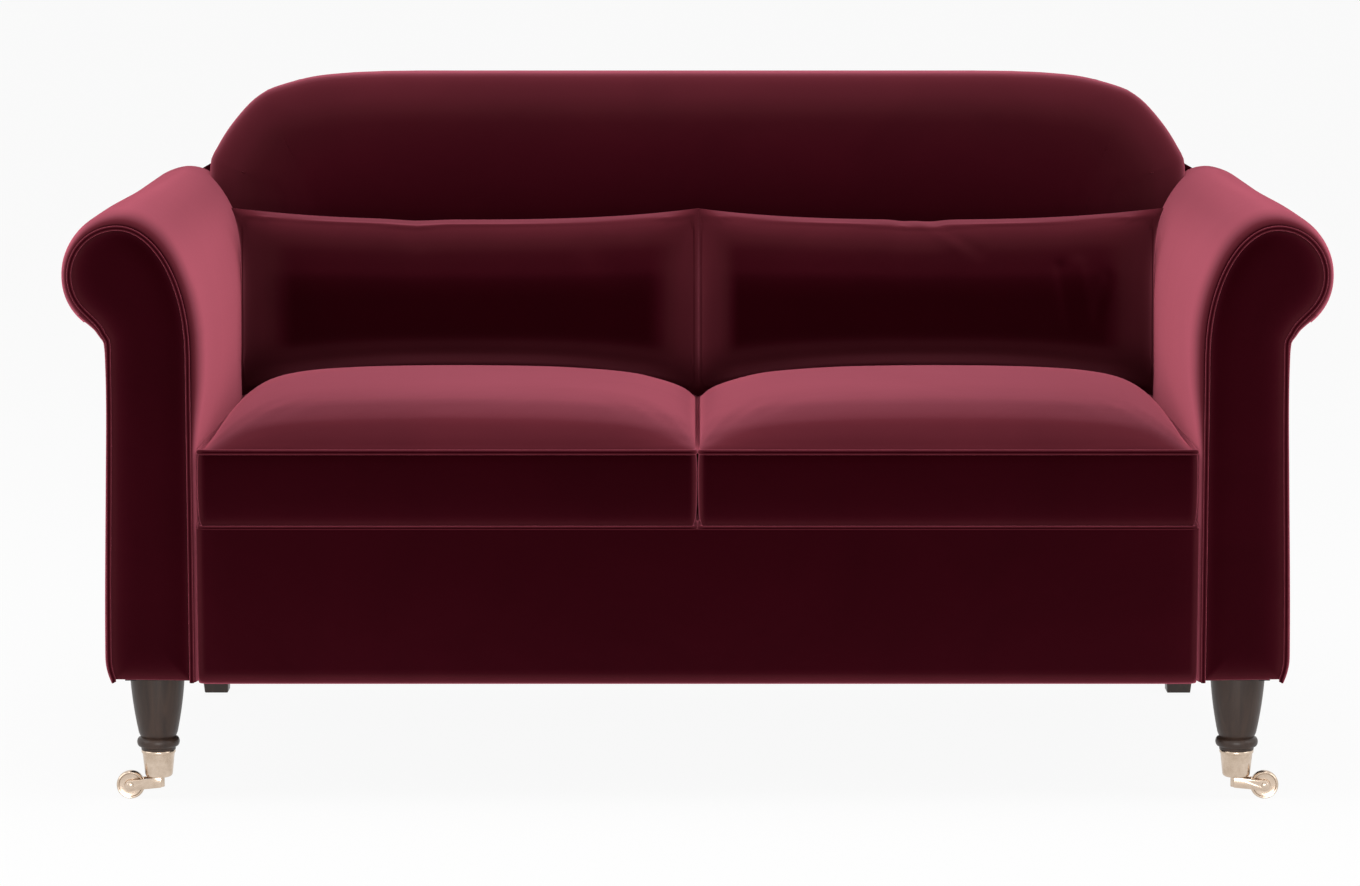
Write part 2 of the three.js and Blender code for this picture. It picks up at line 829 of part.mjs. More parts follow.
// A boxed seat cushion with a sewn bead round its top and bottom edges.
function seatCushion() {
  const halfX = (insideFace - 2 * clearance) / 2;
  const halfY = cushionDepth / 2;
  const outline = (inset) =>
    roundedRectangle(
      halfX - inset, halfY - inset, cushionCorner, cushionPull, cushionSideSteps, cornerSteps,
    );
  const level = (inset, height) => outline(inset).map((p) => new THREE.Vector3(p.x, p.y, height));
  const rings = [level(undersideInset, 0)];
  for (const turn of beadTurns) {
    rings.push(level(beadRadius * (1 - Math.cos(turn)), beadRadius * (1 + Math.sin(turn))));
  }
  borderShares.forEach(([heightShare, hollowShare]) => {
    rings.push(level(borderHollow * hollowShare, cushionBorder * heightShare));
  });
  const topBead = cushionBorder - 2 * beadRadius;
  for (const turn of beadTurns) {
    rings.push(
      level(beadRadius * (1 - Math.cos(turn)), topBead + beadRadius * (1 + Math.sin(turn))),
    );
  }
  const seam = outline(2 * beadRadius);
  const reachX = Math.max(...seam.map((p) => p.x));
  const reachY = Math.max(...seam.map((p) => p.y));
  const seamHeight = cushionBorder - beadRadius / 2;
  for (const share of crownShares) {
    rings.push(
      seam.map((p) => {
        const rise = crownAt((p.x * share) / reachX, (p.y * share) / reachY);
        return new THREE.Vector3(p.x * share, p.y * share, seamHeight + rise);
      }),
    );
  }
  return skin(rings);
}

// A knife-edged lumbar cushion, lying in X and Z, its outer top corner drawn out to -X.
function lumbarCushion() {
  const halfX = (insideFace - 2 * clearance) / 2;
  const halfZ = lumbarHeight / 2;
  const outline = roundedRectangle(
    halfX, halfZ, lumbarCorner, lumbarPull, cushionSideSteps, cornerSteps,
  );
  const edge = outline.map((p) => {
    const up = Math.max(p.y / halfZ, 0);
    const sag = up ** 2 * lumbarTopSag * (1 - (p.x / halfX) ** 2);
    const ear = p.x < 0 ? earReach * up ** 2 * (-p.x / halfX) : 0;
    return point(p.x - ear, p.y - sag);
  });
  const ringAt = (share, side) => {
    const thick = (lumbarThickness / 2) * Math.sqrt(1 - share ** lumbarFullness);
    return edge.map((p) => new THREE.Vector3(p.x * share, side * thick, p.y * share));
  };
  const rings = lumbarShares.map((share) => ringAt(share, -1));
  rings.push(ringAt(1, 0));
  rings.push(...lumbarShares.map((share) => ringAt(share, 1)).reverse());
  return skin(rings);
}

function placeCushions(side, label) {
  const middle = (side * insideFace) / 2;
  const seat = new THREE.Group();
  seat.position.set(middle, behind(0), deckHeight + clearance);
  seat.rotation.x = -rake;
  const seatShape = seatCushion().translate(0, cushionDepth / 2, 0);
  add(`seat_cushion_${label}`, seatShape, velvet(), seat);
  const lumbarMiddle = lumbarFoot + lumbarHeight / 2;
  const lumbar = new THREE.Group();
  const distance = frontAt(lumbarMiddle) - backCrown - lumbarThickness / 2 / Math.cos(frontLean);
  lumbar.position.set(middle, behind(distance - clearance), lumbarMiddle);
  lumbar.rotation.x = -frontLean;
  const shape = lumbarCushion();
  add(`lumbar_cushion_${label}`, side < 0 ? shape : mirrored(shape), velvet(), lumbar);
  sofa.add(seat, lumbar);
}

placeCushions(-1, "left");
placeCushions(1, "right");

// Legs

const legTop = armFoot - clearance;
const frontBlockFront = boardRear + clearance;
const rearBlockRear = frameFront - clearance;
const rearLegInset = rearBlockRear - blockLength / 2;

const standing = (geometry, inset) => geometry.translate(legReach, behind(inset), 0);

function boltHole(inset) {
  const hole = new THREE.CylinderGeometry(
    boltBore, boltBore, 2 * boltDepth + 2 * clearance, turnedSides / 2,
  );
  return standing(hole.rotateX(Math.PI / 2), inset).translate(0, 0, armFoot);
}

function legBlock(front, inset) {
  const solid = block(timberInside, blockOutside, front, front + blockLength, armFoot, blockTop);
  return cut(solid, boltHole(inset));
}

function legBolt(inset) {
  const shank = new THREE.CylinderGeometry(boltRadius, boltRadius, 2 * boltDepth, turnedSides / 2);
  return standing(shank.rotateX(Math.PI / 2), inset).translate(0, 0, armFoot);
}

// The inside radius of the castor's cup at a height.
function cupInside(height) {
  const share = (height - cupFoot - cupFloor) / (cupTop - cupFoot - cupFloor);
  return cupFootRadius + (cupTopRadius - cupFootRadius) * share - cupWall;
}

const pivotHeadFoot = cupFoot + cupFloor + clearance;
const tenonFoot = pivotHeadFoot + pivotHeadHeight + clearance;

function frontLeg() {
  const bead = beadRingShares.map((share) => [
    legNeckRadius + (beadRingRadius - legNeckRadius) * Math.sqrt(1 - share ** 2),
    beadRingHeight + beadRingHalf * share,
  ]);
  const swell = new THREE.QuadraticBezierCurve(
    point(legWaistRadius, legWaistHeight),
    point(legShoulderRadius, (legWaistHeight + legTop) / 2),
    point(legRadius, legTop),
  );
  return turned(
    [
      [0, tenonFoot],
      [cupInside(tenonFoot) - clearance, tenonFoot],
      [cupInside(cupTop) - clearance, cupTop + clearance],
      [legNeckRadius, cupTop + clearance],
      ...bead,
      ...swell.getPoints(legSteps).map((p) => [p.x, p.y]),
      [boltBore, legTop],
      [boltBore, armFoot - boltDepth - clearance],
      [0, armFoot - boltDepth - clearance],
    ],
    turnedSides,
  );
}

// A square tapered leg that splays to the rear, flat on the floor.
function rearLeg() {
  const square = (half, splay, height) =>
    [[1, 1], [-1, 1], [-1, -1], [1, -1]].map(
      ([x, y]) => new THREE.Vector3(x * half, y * half + splay, height),
    );
  const rings = [square(rearLegFoot / 2, rearLegSplay, 0), square(rearLegTop / 2, 0, legTop)];
  const solid = standing(skin(rings), rearLegInset);
  return cut(solid, boltHole(rearLegInset));
}

// The dust cover under the frame, with a hole round each leg.
function dustCover() {
  const sheet = block(
    -blockOutside, blockOutside, borderRear + clearance, frameRear - dustCoverMargin,
    armFoot - clearance - dustCoverThickness, armFoot - clearance,
  );
  const round = new THREE.CylinderGeometry(
    legRadius + dustCoverMargin, legRadius + dustCoverMargin, overrun, turnedSides,
  );
  const square = new THREE.BoxGeometry(
    rearLegTop + 2 * dustCoverMargin, rearLegTop + 2 * dustCoverMargin, overrun,
  );
  const holes = [
    standing(round.rotateX(Math.PI / 2), legInset).translate(0, 0, armFoot),
    standing(square, rearLegInset).translate(0, 0, armFoot),
  ];
  return cut(sheet, ...holes, ...holes.map(mirrored));
}

add("dust_cover", dustCover(), lining());
addPair("front_leg_block", legBlock(frontBlockFront, legInset), timber);
addPair("rear_leg_block", legBlock(rearBlockRear - blockLength, rearLegInset), timber);
addPair("front_leg_bolt", legBolt(legInset), steel);
addPair("rear_leg_bolt", legBolt(rearLegInset), steel);
addPair("front_leg", standing(frontLeg(), legInset), darkWood);
addPair("rear_leg", rearLeg(), darkWood);

// Castors

function castorCup() {
  return turned(
    [
      [pivotBore, cupFoot],
      [cupFootRadius - cupFloor, cupFoot],
      [cupFootRadius, cupFoot + cupFloor],
      [cupTopRadius, cupTop - cupRimHeight],
      [cupRimRadius, cupTop - cupRimHeight],
      [cupRimRadius, cupTop],
      [cupInside(cupTop), cupTop],
      [cupInside(cupFoot + cupFloor), cupFoot + cupFloor],
      [pivotBore, cupFoot + cupFloor],
      [pivotBore, cupFoot],
    ],
    turnedSides,
  );
}

// A plate of the fork, from the pivot's neck to round the axle.
function forkPlate(from, to) {
  const middle = (hornFoot + cupFoot - clearance) / 2;
  const neck = (cupFoot - clearance - hornFoot) / 2;
  const tip = new THREE.EllipseCurve(
    trail, wheelRadius, neck, neck, -Math.PI / 2, Math.PI / 2, false, 0,
  );
  const shape = new THREE.Shape([
    point(-hornRadius / 2, middle - neck),
    ...tip.getPoints(filletSteps * 2),
    point(-hornRadius / 2, middle + neck),
  ]);
  shape.holes = [new THREE.Path(circle(trail, wheelRadius, axleRadius + clearance))];
  const plate = new THREE.ExtrudeGeometry(shape, { depth: to - from, bevelEnabled: false });
  return plate.rotateX(Math.PI / 2).translate(0, to, 0);
}

const circle = (x, z, radius) =>
  Array.from({ length: turnedSides / 2 }, (_, i) => {
    const turn = (-4 * Math.PI * i) / turnedSides;
    return point(x + radius * Math.cos(turn), z + radius * Math.sin(turn));
  });

// The swivelling horn: pivot pin with its riveted head, neck, and the two fork plates.
function castorHorn() {
  const inner = wheelWidth / 2 + forkGap;
  const outer = inner + forkThickness;
  const neckTop = cupFoot - clearance;
  const pin = turned(
    [
      [0, hornFoot],
      [hornRadius, hornFoot],
      [hornRadius, neckTop],
      [pivotRadius, neckTop],
      [pivotRadius, pivotHeadFoot],
      [pivotHeadRadius, pivotHeadFoot],
      [pivotHeadRadius, pivotHeadFoot + pivotHeadHeight],
      [0, pivotHeadFoot + pivotHeadHeight],
    ],
    turnedSides,
  );
  const rear = -hornRadius / 2;
  const bridge = new THREE.BoxGeometry(hornRadius - rear, 2 * outer, neckTop - hornFoot);
  bridge.translate((hornRadius + rear) / 2, 0, (neckTop + hornFoot) / 2);
  return joined(pin, bridge, forkPlate(inner, outer), forkPlate(-outer, -inner));
}

function castorWheel() {
  const side = wheelWidth / 2;
  const rim = wheelRadius - wheelDish;
  const one = [
    [axleBore, side + forkGap / 2],
    [hubRadius, side + forkGap / 2],
    [hubRadius + wheelDish, side - wheelDish],
    [rim - wheelDish, side - wheelDish],
    [rim, side],
    [wheelRadius, side - wheelDish],
  ];
  const other = one.map(([r, y]) => [r, -y]).reverse();
  return turned([...one, ...other, one[0]], wheelSides).rotateX(Math.PI / 2);
}

function castorAxle() {
  const reach = wheelWidth / 2 + forkGap + forkThickness + clearance;
  return turned(
    [
      [0, -reach - axleHeadHeight],
      [axleHeadRadius, -reach - axleHeadHeight],
      [axleHeadRadius, -reach],
      [axleRadius, -reach],
      [axleRadius, reach],
      [axleHeadRadius, reach],
      [axleHeadRadius, reach + axleHeadHeight],
      [0, reach + axleHeadHeight],
    ],
    turnedSides / 2,
  ).rotateX(Math.PI / 2);
}

const atWheel = (geometry) => geometry.translate(trail, 0, wheelRadius);

addPair("castor_cup", standing(castorCup(), legInset), brass);
addPair("castor_horn", standing(castorHorn(), legInset), brass);
addPair("castor_wheel", standing(atWheel(castorWheel()), legInset), brass);
addPair("castor_axle", standing(atWheel(castorAxle()), legInset), steel);

export default sofa;
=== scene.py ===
"""A rolled arm loveseat in wine-red velvet, on turned legs with brass castors.

Metres, +Z up, the seat faces -Y, the origin is on the floor under the middle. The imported
frame gives every place; the covers, cushions, legs and castors are modelled over it.
"""

import json
import math
from contextlib import contextmanager

import bmesh
import bpy
from mathutils import Matrix, Vector
from mathutils.kdtree import KDTree


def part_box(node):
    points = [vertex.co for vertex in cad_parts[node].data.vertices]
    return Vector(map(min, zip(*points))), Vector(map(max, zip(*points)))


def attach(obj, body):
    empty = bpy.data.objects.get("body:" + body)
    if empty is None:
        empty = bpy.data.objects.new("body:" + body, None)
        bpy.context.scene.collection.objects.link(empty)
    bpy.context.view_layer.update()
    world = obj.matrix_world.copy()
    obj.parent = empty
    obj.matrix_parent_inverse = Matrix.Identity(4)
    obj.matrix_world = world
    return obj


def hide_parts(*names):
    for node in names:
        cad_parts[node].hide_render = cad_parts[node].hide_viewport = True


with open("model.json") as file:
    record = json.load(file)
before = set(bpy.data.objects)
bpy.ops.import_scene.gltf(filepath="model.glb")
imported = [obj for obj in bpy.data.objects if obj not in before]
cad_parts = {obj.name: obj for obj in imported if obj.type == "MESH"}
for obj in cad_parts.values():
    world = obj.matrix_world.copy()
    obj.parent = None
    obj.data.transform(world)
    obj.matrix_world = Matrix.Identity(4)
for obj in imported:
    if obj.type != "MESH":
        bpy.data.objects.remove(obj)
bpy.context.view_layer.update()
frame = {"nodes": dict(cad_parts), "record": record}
nodes = frame["nodes"]
scene = bpy.context.scene

# Camera, as the photograph was taken
CAMERA_PLACE = Vector((0, -6.1262, 1.2221))
CAMERA_PITCH = math.radians(7.7)
CAMERA_LENS = 125.0
CAMERA_SENSOR = 36
CAMERA_SHIFT = -0.0129

# Covers, measured from the edge of an arm's facing
COVER_THICKNESS = 0.004
COVER_BEHIND = 0.0006  # of a cover's front edge behind the facing's front
START_INSIDE = 0.0012  # of the padding's front edge, under the piping
ROLL_CENTRE = Vector((0.7033, 0.655))
# The padding's swell at turns round the roll, from its outside (0) over the top (90)
SWELL_FRONT = ((-66, 0.008), (-58, 0.0128), (-48, 0.0145), (-35, 0.014), (-15, 0.012),
               (0, 0.0106), (30, 0.0106), (58, 0.0123), (90, 0.0145), (135, 0.0135),
               (180, 0.0122), (204, 0.0125), (225, 0.0125), (238, 0.0112), (248, 0.0032))
SWELL_REAR = ((-66, 0.005), (-40, 0.0095), (0, 0.0085), (45, 0.008), (70, 0.0076),
              (90, 0.0083), (135, 0.007), (180, 0.0055), (232, 0.0044))
SWELL_FADE = (0.15, 0.6)  # depths between which the one gives way to the other
ROUND_LEAST = 0.012  # depth of the padding's rounding to the front
ROUND_PER_SWELL = 3.75
OUTSIDE_SWELL = ((0.15, 0.003), (0.4, 0.0022), (0.555, 0.0024), (0.61, 0.0085))
OUTSIDE_ROUND = 0.016
FACING_LAP = 0.0036  # of the facing past its piping
FACING_UNDER = 0.0004  # of the facing's edge under its piping
FACING_FOOT = (0.157, 0.1583)  # heights of its foot, inner and outer
FOOT_STEP = 0.003  # least height of an edge's first free point above its foot
FACING_BEND = 0.54  # height where the facing's middle line turns towards the roll
FACING_HEM = 0.045  # of the middle line's end above the foot
STEM_TOP = 0.58
STEM_SPLAY = (0.003, 0.0052)  # of the outer stem at its foot, and what it loses on the way up
STEM_HEIGHTS = (0.18, 0.54)
FACING_FORM = ((0, -0.004), (0.0004, -0.002), (0.0012, -0.0008), (0.0024, 0.0001),
               (0.0044, 0.0012), (0.0074, 0.0023), (0.0114, 0.0032), (0.0174, 0.004),
               (0.0254, 0.0045), (0.0344, 0.0047))  # insets, and how far forward each stands
PIPING_RADIUS = 0.0029
PIPING_TAIL = 0.0022  # of the piping below the facing's foot
BORDER_FORWARD = 0.0035  # of the border's wadding in front of its board
BORDER_WIDER = 0.0022
BORDER_THICKNESS = 0.003
BORDER_ROUNDS = (0.017, 0.0095, 0.0015)  # radii at its foot, its ends and its top
BORDER_TUCK = (0.0038, 0.16)  # how far it draws in towards its foot, and over what height
BORDER_END_TUCK = (0.0018, 0.04)
BORDER_LOWER = 0.0008  # of its top under its node's
BORDER_LEVELS = (0.225, 0.24, 0.255, 0.27, 0.285, 0.3)  # heights between its rounded edges
PANEL_THICKNESS = 0.006
BACK_LEAN = math.radians(6)
CLEARANCE = 0.0003

# Cushions
RAKE = math.radians(1)
SEAT_DEPTH = 0.64
SEAT_BORDER = 0.093
SEAT_CORNER = 0.009
SEAT_INSET = (0.0002, 0.001)  # of the border, in from its sides and from its front and rear
SEAT_CUTS = 56
SEAT_REACH = 0.0006  # of the stuffing's push
SEAT_HELD = 0.006  # height of the crown's edge that the stuffing doesn't move
SEAT_CROWN_ALONG = ((0, 0), (0.005, 0.005), (0.015, 0.0136), (0.03, 0.0235), (0.05, 0.0344),
                    (0.08, 0.045), (0.11, 0.0526), (0.18, 0.0627), (0.25, 0.0678), (0.32, 0.0694),
                    (0.38, 0.0676), (0.43, 0.0625), (0.47, 0.055), (0.5, 0.047), (0.54, 0.0345),
                    (0.56, 0.028), (0.6, 0.014), (0.62, 0.0056), (0.64, 0))
SEAT_CROWN_ARM_END = ((0, -0.02), (0.0075, 0.03), (0.011, 0.12), (0.0145, 0.25), (0.019, 0.345),
                      (0.028, 0.475), (0.055, 0.72), (0.099, 0.88), (0.163, 0.96), (0.23, 0.99),
                      (0.306, 1))
SEAT_CROWN_MIDDLE_END = ((0, 0.15), (0.003, 0.28), (0.008, 0.41), (0.02, 0.545), (0.043, 0.685),
                         (0.086, 0.85), (0.171, 0.96), (0.24, 0.99), (0.306, 1))
SEAT_BORDER_FORM = ((0, -0.0062), (0.003, -0.0042), (0.008, -0.0024), (0.016, -0.0012),
                    (0.033, -0.0003), (0.06, 0), (0.078, -0.0003), (0.084, -0.0007),
                    (0.089, -0.0013), (0.093, -0.0024))
CUSHION_PIPING = 0.0034
CORD_INSET = -0.0024  # of the cushion's piping from its outline
CORD_SINK = 0.0004
CORD_DROP = 0.0042  # of the lower piping at the back of the front corners
CORD_RISE = (0.002, 0.02)  # depths between which it comes up to its level
CORD_SIDE_POINTS = 60
PILLOW_GRID = (170, 56)
PILLOW_REACH = 0.0012
PILLOW_HELD = (0.006, 0.005)  # widths along its ends and seams that the stuffing leaves
PILLOW_HALF = 0.0604  # of its thickness
PILLOW_NARROWER = 0.0022  # at the middle end
PILLOW_WIDER = 0.0005  # at the arm
PILLOW_FOOT = 0.446
PILLOW_FOOT_END = 0.012  # what the seam's foot drops at the ends
PILLOW_FOOT_RISE = 0.036
PILLOW_EAR = 0.0095
PILLOW_EAR_DIP = 0.002
PILLOW_WAIST = 0.004
PILLOW_TOP = 0.686
PILLOW_SAG = 0.0135  # of the top seam between the corners
PILLOW_PLANE = 0.597  # of the seam behind the facing, at the foot
PILLOW_LEAN = 0.085
PILLOW_FULLEST = 0.557
# Shares of the full thickness, from the top seam down and from the fullest height down
PILLOW_UPPER = ((0, 0), (0.03, 0.2), (0.061, 0.345), (0.117, 0.495), (0.165, 0.583), (0.23, 0.669),
                (0.322, 0.757), (0.417, 0.823), (0.504, 0.877), (0.643, 0.954), (0.826, 0.998),
                (1, 1))
PILLOW_LOWER = ((0, 1), (0.2, 1), (0.31, 0.998), (0.414, 0.985), (0.5, 0.95), (0.598, 0.86),
                (0.701, 0.69), (0.81, 0.41), (0.902, 0.14), (1, 0))
# Length over which an end falls off, and the share of the thickness left where it is pressed
PILLOW_ENDS = {"arm": (0.08, 0.12), "left": (0.075, 0.12), "right": (0.06, -0.05)}
# Dips of the top seam: place, width and depth; and soft folds: from and to (x, z), width, depth
PILLOW_DIPS = {"left": ((-0.377, 0.03, 0.0018),),
               "right": ((0.276, 0.014, 0.002), (0.31, 0.02, 0.0026))}
PILLOW_FOLDS = {
    "left": (((-0.39, 0.668), (-0.372, 0.645), 0.012, 0.0012),
             ((-0.14, 0.64), (-0.12, 0.6), 0.02, 0.0012)),
    "right": (((0.3, 0.668), (0.345, 0.64), 0.007, -0.0022),
              ((0.317, 0.668), (0.375, 0.632), 0.009, 0.002),
              ((0.482, 0.612), (0.495, 0.535), 0.008, 0.0014),
              ((0.507, 0.615), (0.522, 0.54), 0.01, -0.0012),
              ((0.545, 0.6), (0.53, 0.545), 0.009, 0.0013)),
}
FOLD_FADE = 0.6  # share of a fold's depth that is gone at its end
FRAMES = 20
PRESSURE = 4.0

# Back
BACK_OUTLINE = ((-0.672, 0.336), (-0.672, 0.45), (-0.672, 0.58), (-0.672, 0.68),
                (-0.6719, 0.7317), (-0.6634, 0.7523), (-0.6466, 0.7798), (-0.6243, 0.8072),
                (-0.6065, 0.8235), (-0.5856, 0.8346), (-0.5361, 0.8482), (-0.4895, 0.8537),
                (-0.4347, 0.8562), (-0.339, 0.857), (-0.17, 0.857), (0, 0.857))
BACK_FOOT = 0.336
BACK_PLANE = 0.6545  # of the back's face behind the facing, at its foot
BACK_SLOPE = 0.142
BACK_BOW = 0.012  # of the face backwards at BACK_BOW_AT from the middle
BACK_BOW_AT = 0.65
BACK_GOAL = (0.45, 0.42)  # where its rings draw in to
BACK_ROUND = 0.06  # width of its rounded edge
BACK_ROUND_DEPTH = 0.04
BACK_CROWN = 0.045  # what its middle stands forward besides
BACK_CROWN_REACH = 0.24

# The front legs and castors
LEG_SIDES = 64
AXLE_SIDES = 32
CUP_TOP = 0.062
CUP_FOOT = 0.028
WHEEL_RADIUS = 0.0175
WHEEL_WIDTH = 0.012

# Studio
FLOOR_WHITE = 0.93  # share of plain white in the floor as the camera sees it
WORLD_LIGHT = 0.3
LAMP_AIM = Vector((0, 0, 0.4))
LAMPS = (  # name, place, size, power
    ("overhead lamp", (0, -0.6, 3.4), 3.2, 65),
    ("left lamp", (-3.2, -1.2, 2.0), 2.2, 27),
    ("right lamp", (3.2, -1.2, 2.0), 2.2, 27),
    ("front lamp", (0, -6.8, 1.0), 2.6, 200),
)

SIDES = {"left": -1, "right": 1}


# Working tools


def deselect():
    if bpy.context.object and bpy.context.object.mode != "OBJECT":
        bpy.ops.object.mode_set(mode="OBJECT")
    bpy.ops.object.select_all(action="DESELECT")


def pick(piece):
    deselect()
    bpy.context.view_layer.objects.active = piece
    piece.select_set(True)


def edit(piece, operator, **values):
    """Runs an edit-mode operator on the whole of a piece."""
    pick(piece)
    bpy.ops.object.mode_set(mode="EDIT")
    bpy.ops.mesh.select_all(action="SELECT")
    operator(**values)
    bpy.ops.object.mode_set(mode="OBJECT")


@contextmanager
def mesh_of(piece):
    """A piece's mesh, open for changes that are written back at the end."""
    mesh = bmesh.new()
    mesh.from_mesh(piece.data)
    yield mesh
    mesh.to_mesh(piece.data)
    mesh.free()


def settle(piece):
    """Puts a piece's place, turn and scale into its mesh."""
    pick(piece)
    bpy.ops.object.transform_apply(location=True, rotation=True, scale=True)


def finish_with(piece, kind, **values):
    """Adds a modifier with these values and applies it."""
    pick(piece)
    modifier = piece.modifiers.new(kind.title(), kind)
    for name, value in values.items():
        setattr(modifier, name, value)
    bpy.ops.object.modifier_apply(modifier=modifier.name)


def smooth(piece, degrees=40):
    pick(piece)
    bpy.ops.object.shade_smooth_by_angle(angle=math.radians(degrees))


def dress(piece, name, body, slot, replaced=None, material=None):
    """Names a finished piece, gives it its material and fixes it to its body."""
    settle(piece)
    piece.name = name
    piece.data.name = name
    piece.data.materials.clear()
    piece.data.materials.append(material or FINISHES[slot])
    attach(piece, body)
    if replaced:
        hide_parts(replaced)


def copy_of(node):
    """A loose copy of a frame node, its shared corners made one."""
    piece = bpy.data.objects.new(node + "_copy", nodes[node].data.copy())
    scene.collection.objects.link(piece)
    with mesh_of(piece) as mesh:
        bmesh.ops.remove_doubles(mesh, verts=mesh.verts, dist=1e-5)
    return piece


def grid_sheet(across, along, place):
    """A grid whose points are moved to place(u, v), both from 0 to 1."""
    deselect()
    bpy.ops.mesh.primitive_grid_add(x_subdivisions=across, y_subdivisions=along, size=1)
    piece = bpy.context.object
    for vertex in piece.data.vertices:
        vertex.co = place(vertex.co.x + 0.5, vertex.co.y + 0.5)
    return piece


def face_towards(piece, outwards):
    """Turns an open sheet's faces so that together they look the given way."""
    with mesh_of(piece) as mesh:
        mesh.normal_update()
        total = sum(
            (face.normal.dot(outwards(face.calc_center_median())) * face.calc_area()
             for face in mesh.faces),
            0.0,
        )
        if total < 0:
            bmesh.ops.reverse_faces(mesh, faces=mesh.faces)


def ease_edges(piece, width, segments, degrees):
    """Bevels the edges that turn by more than these degrees."""
    finish_with(piece, "BEVEL", width=width, segments=segments, limit_method="ANGLE",
                angle_limit=math.radians(degrees))


def thick(piece, thickness):
    finish_with(piece, "SOLIDIFY", thickness=thickness, offset=-1.0, use_even_offset=False)


def tube_along(points, radius, closed=False, resolution=4):
    """A round cord of cloth through these points."""
    curve = bpy.data.curves.new("tube", "CURVE")
    curve.dimensions = "3D"
    curve.bevel_depth = radius
    curve.bevel_resolution = resolution
    curve.use_fill_caps = True
    line = curve.splines.new("POLY")
    line.points.add(len(points) - 1)
    for point, place in zip(line.points, points):
        point.co = (*place, 1)
    line.use_cyclic_u = closed
    piece = bpy.data.objects.new("tube", curve)
    scene.collection.objects.link(piece)
    pick(piece)
    bpy.ops.object.convert(target="MESH")
    piece = bpy.context.object
    bpy.ops.object.shade_smooth()
    return piece


def lathe(profile, sides=LEG_SIDES):
    """Turns a piece about Z from (radius, height) pairs, by extruding a circle upwards."""
    deselect()
    radius, height = profile[0]
    bpy.ops.mesh.primitive_circle_add(vertices=sides, radius=radius, fill_type="NGON",
                                      location=(0, 0, height))
    piece = bpy.context.object
    settle(piece)
    bpy.ops.object.mode_set(mode="EDIT")
    bpy.ops.mesh.select_all(action="SELECT")
    for (r0, z0), (r1, z1) in zip(profile, profile[1:]):
        bpy.ops.mesh.extrude_region_move(TRANSFORM_OT_translate={"value": (0, 0, z1 - z0)})
        bpy.ops.transform.resize(value=(r1 / r0, r1 / r0, 1), center_override=(0, 0, z1))
    bpy.ops.mesh.select_all(action="SELECT")
    bpy.ops.mesh.normals_make_consistent(inside=False)
    bpy.ops.object.mode_set(mode="OBJECT")
    return piece


# Lines


def along(table, at):
    """The value at a place on a smooth curve through (place, value) pairs."""
    if at <= table[0][0]:
        return table[0][1]
    if at >= table[-1][0]:
        return table[-1][1]
    i = max(k for k in range(len(table) - 1) if table[k][0] <= at)

    def slope(k):
        before, after = table[max(k - 1, 0)], table[min(k + 1, len(table) - 1)]
        return (after[1] - before[1]) / (after[0] - before[0])

    (x0, y0), (x1, y1) = table[i], table[i + 1]
    span = x1 - x0
    t = (at - x0) / span
    return ((2 * t ** 3 - 3 * t ** 2 + 1) * y0 + (t ** 3 - 2 * t ** 2 + t) * span * slope(i)
            + (3 * t ** 2 - 2 * t ** 3) * y1 + (t ** 3 - t ** 2) * span * slope(i + 1))


def ease(low, high, at):
    """From 0 to 1 as a place goes from low to high, gently at both ends."""
    share = min(max((at - low) / (high - low), 0), 1)
    return share * share * (3 - 2 * share)


def resampled(points, count):
    """Evenly spaced points on a smooth curve through these points."""
    dense = []
    for i in range(len(points) - 1):
        before = points[max(i - 1, 0)]
        start, end = points[i], points[i + 1]
        after = points[min(i + 2, len(points) - 1)]
        for step in range(8):
            t = step / 8
            dense.append(
                0.5 * (2 * start + (end - before) * t
                       + (2 * before - 5 * start + 4 * end - after) * t ** 2
                       + (3 * start - before - 3 * end + after) * t ** 3)
            )
    dense.append(points[-1])
    lengths = [0.0]
    for a, b in zip(dense, dense[1:]):
        lengths.append(lengths[-1] + (b - a).length)
    result = []
    at = 0
    for i in range(count):
        wanted = lengths[-1] * i / (count - 1)
        while at < len(dense) - 2 and lengths[at + 1] < wanted:
            at += 1
        span = lengths[at + 1] - lengths[at]
        share = (wanted - lengths[at]) / span if span else 0
        result.append(dense[at].lerp(dense[at + 1], min(share, 1)))
    return result


def square_to(line):
    """Directions square to a line of (x, z) points, to the left of the way it runs."""
    normals = []
    for i in range(len(line)):
        run = line[min(i + 1, len(line) - 1)] - line[max(i - 1, 0)]
        normals.append(Vector((-run.y, run.x)).normalized())
    return normals


def away_from_middle(line, side):
    """Directions square to an arm's edge, given from its inner foot on, and away from the arm."""
    normals = square_to(line)
    return [-n for n in normals] if normals[0].x * SIDES[side] > 0 else normals


def down_to_foot(line, drop=0):
    """An arm's edge cut off straight at both its feet, each lower by drop."""
    inner, outer = (foot - drop for foot in FACING_FOOT)
    line = [p for i, p in enumerate(line)
            if p.y > (inner if i < len(line) / 2 else outer) + FOOT_STEP]
    return [Vector((line[0].x, inner))] + line + [Vector((line[-1].x, outer))]


def distance_from(line):
    """A measure of how far a point of the same plane is from this line of points."""
    parts = 8
    tree = KDTree(parts * (len(line) - 1) + 1)
    tree.insert((*line[-1], 0), 0)
    for i, (a, b) in enumerate(zip(line, line[1:])):
        for k in range(parts):
            tree.insert((*a.lerp(b, k / parts), 0), parts * i + k + 1)
    tree.balance()
    return lambda at: tree.find((at.x, at.y, 0))[2]


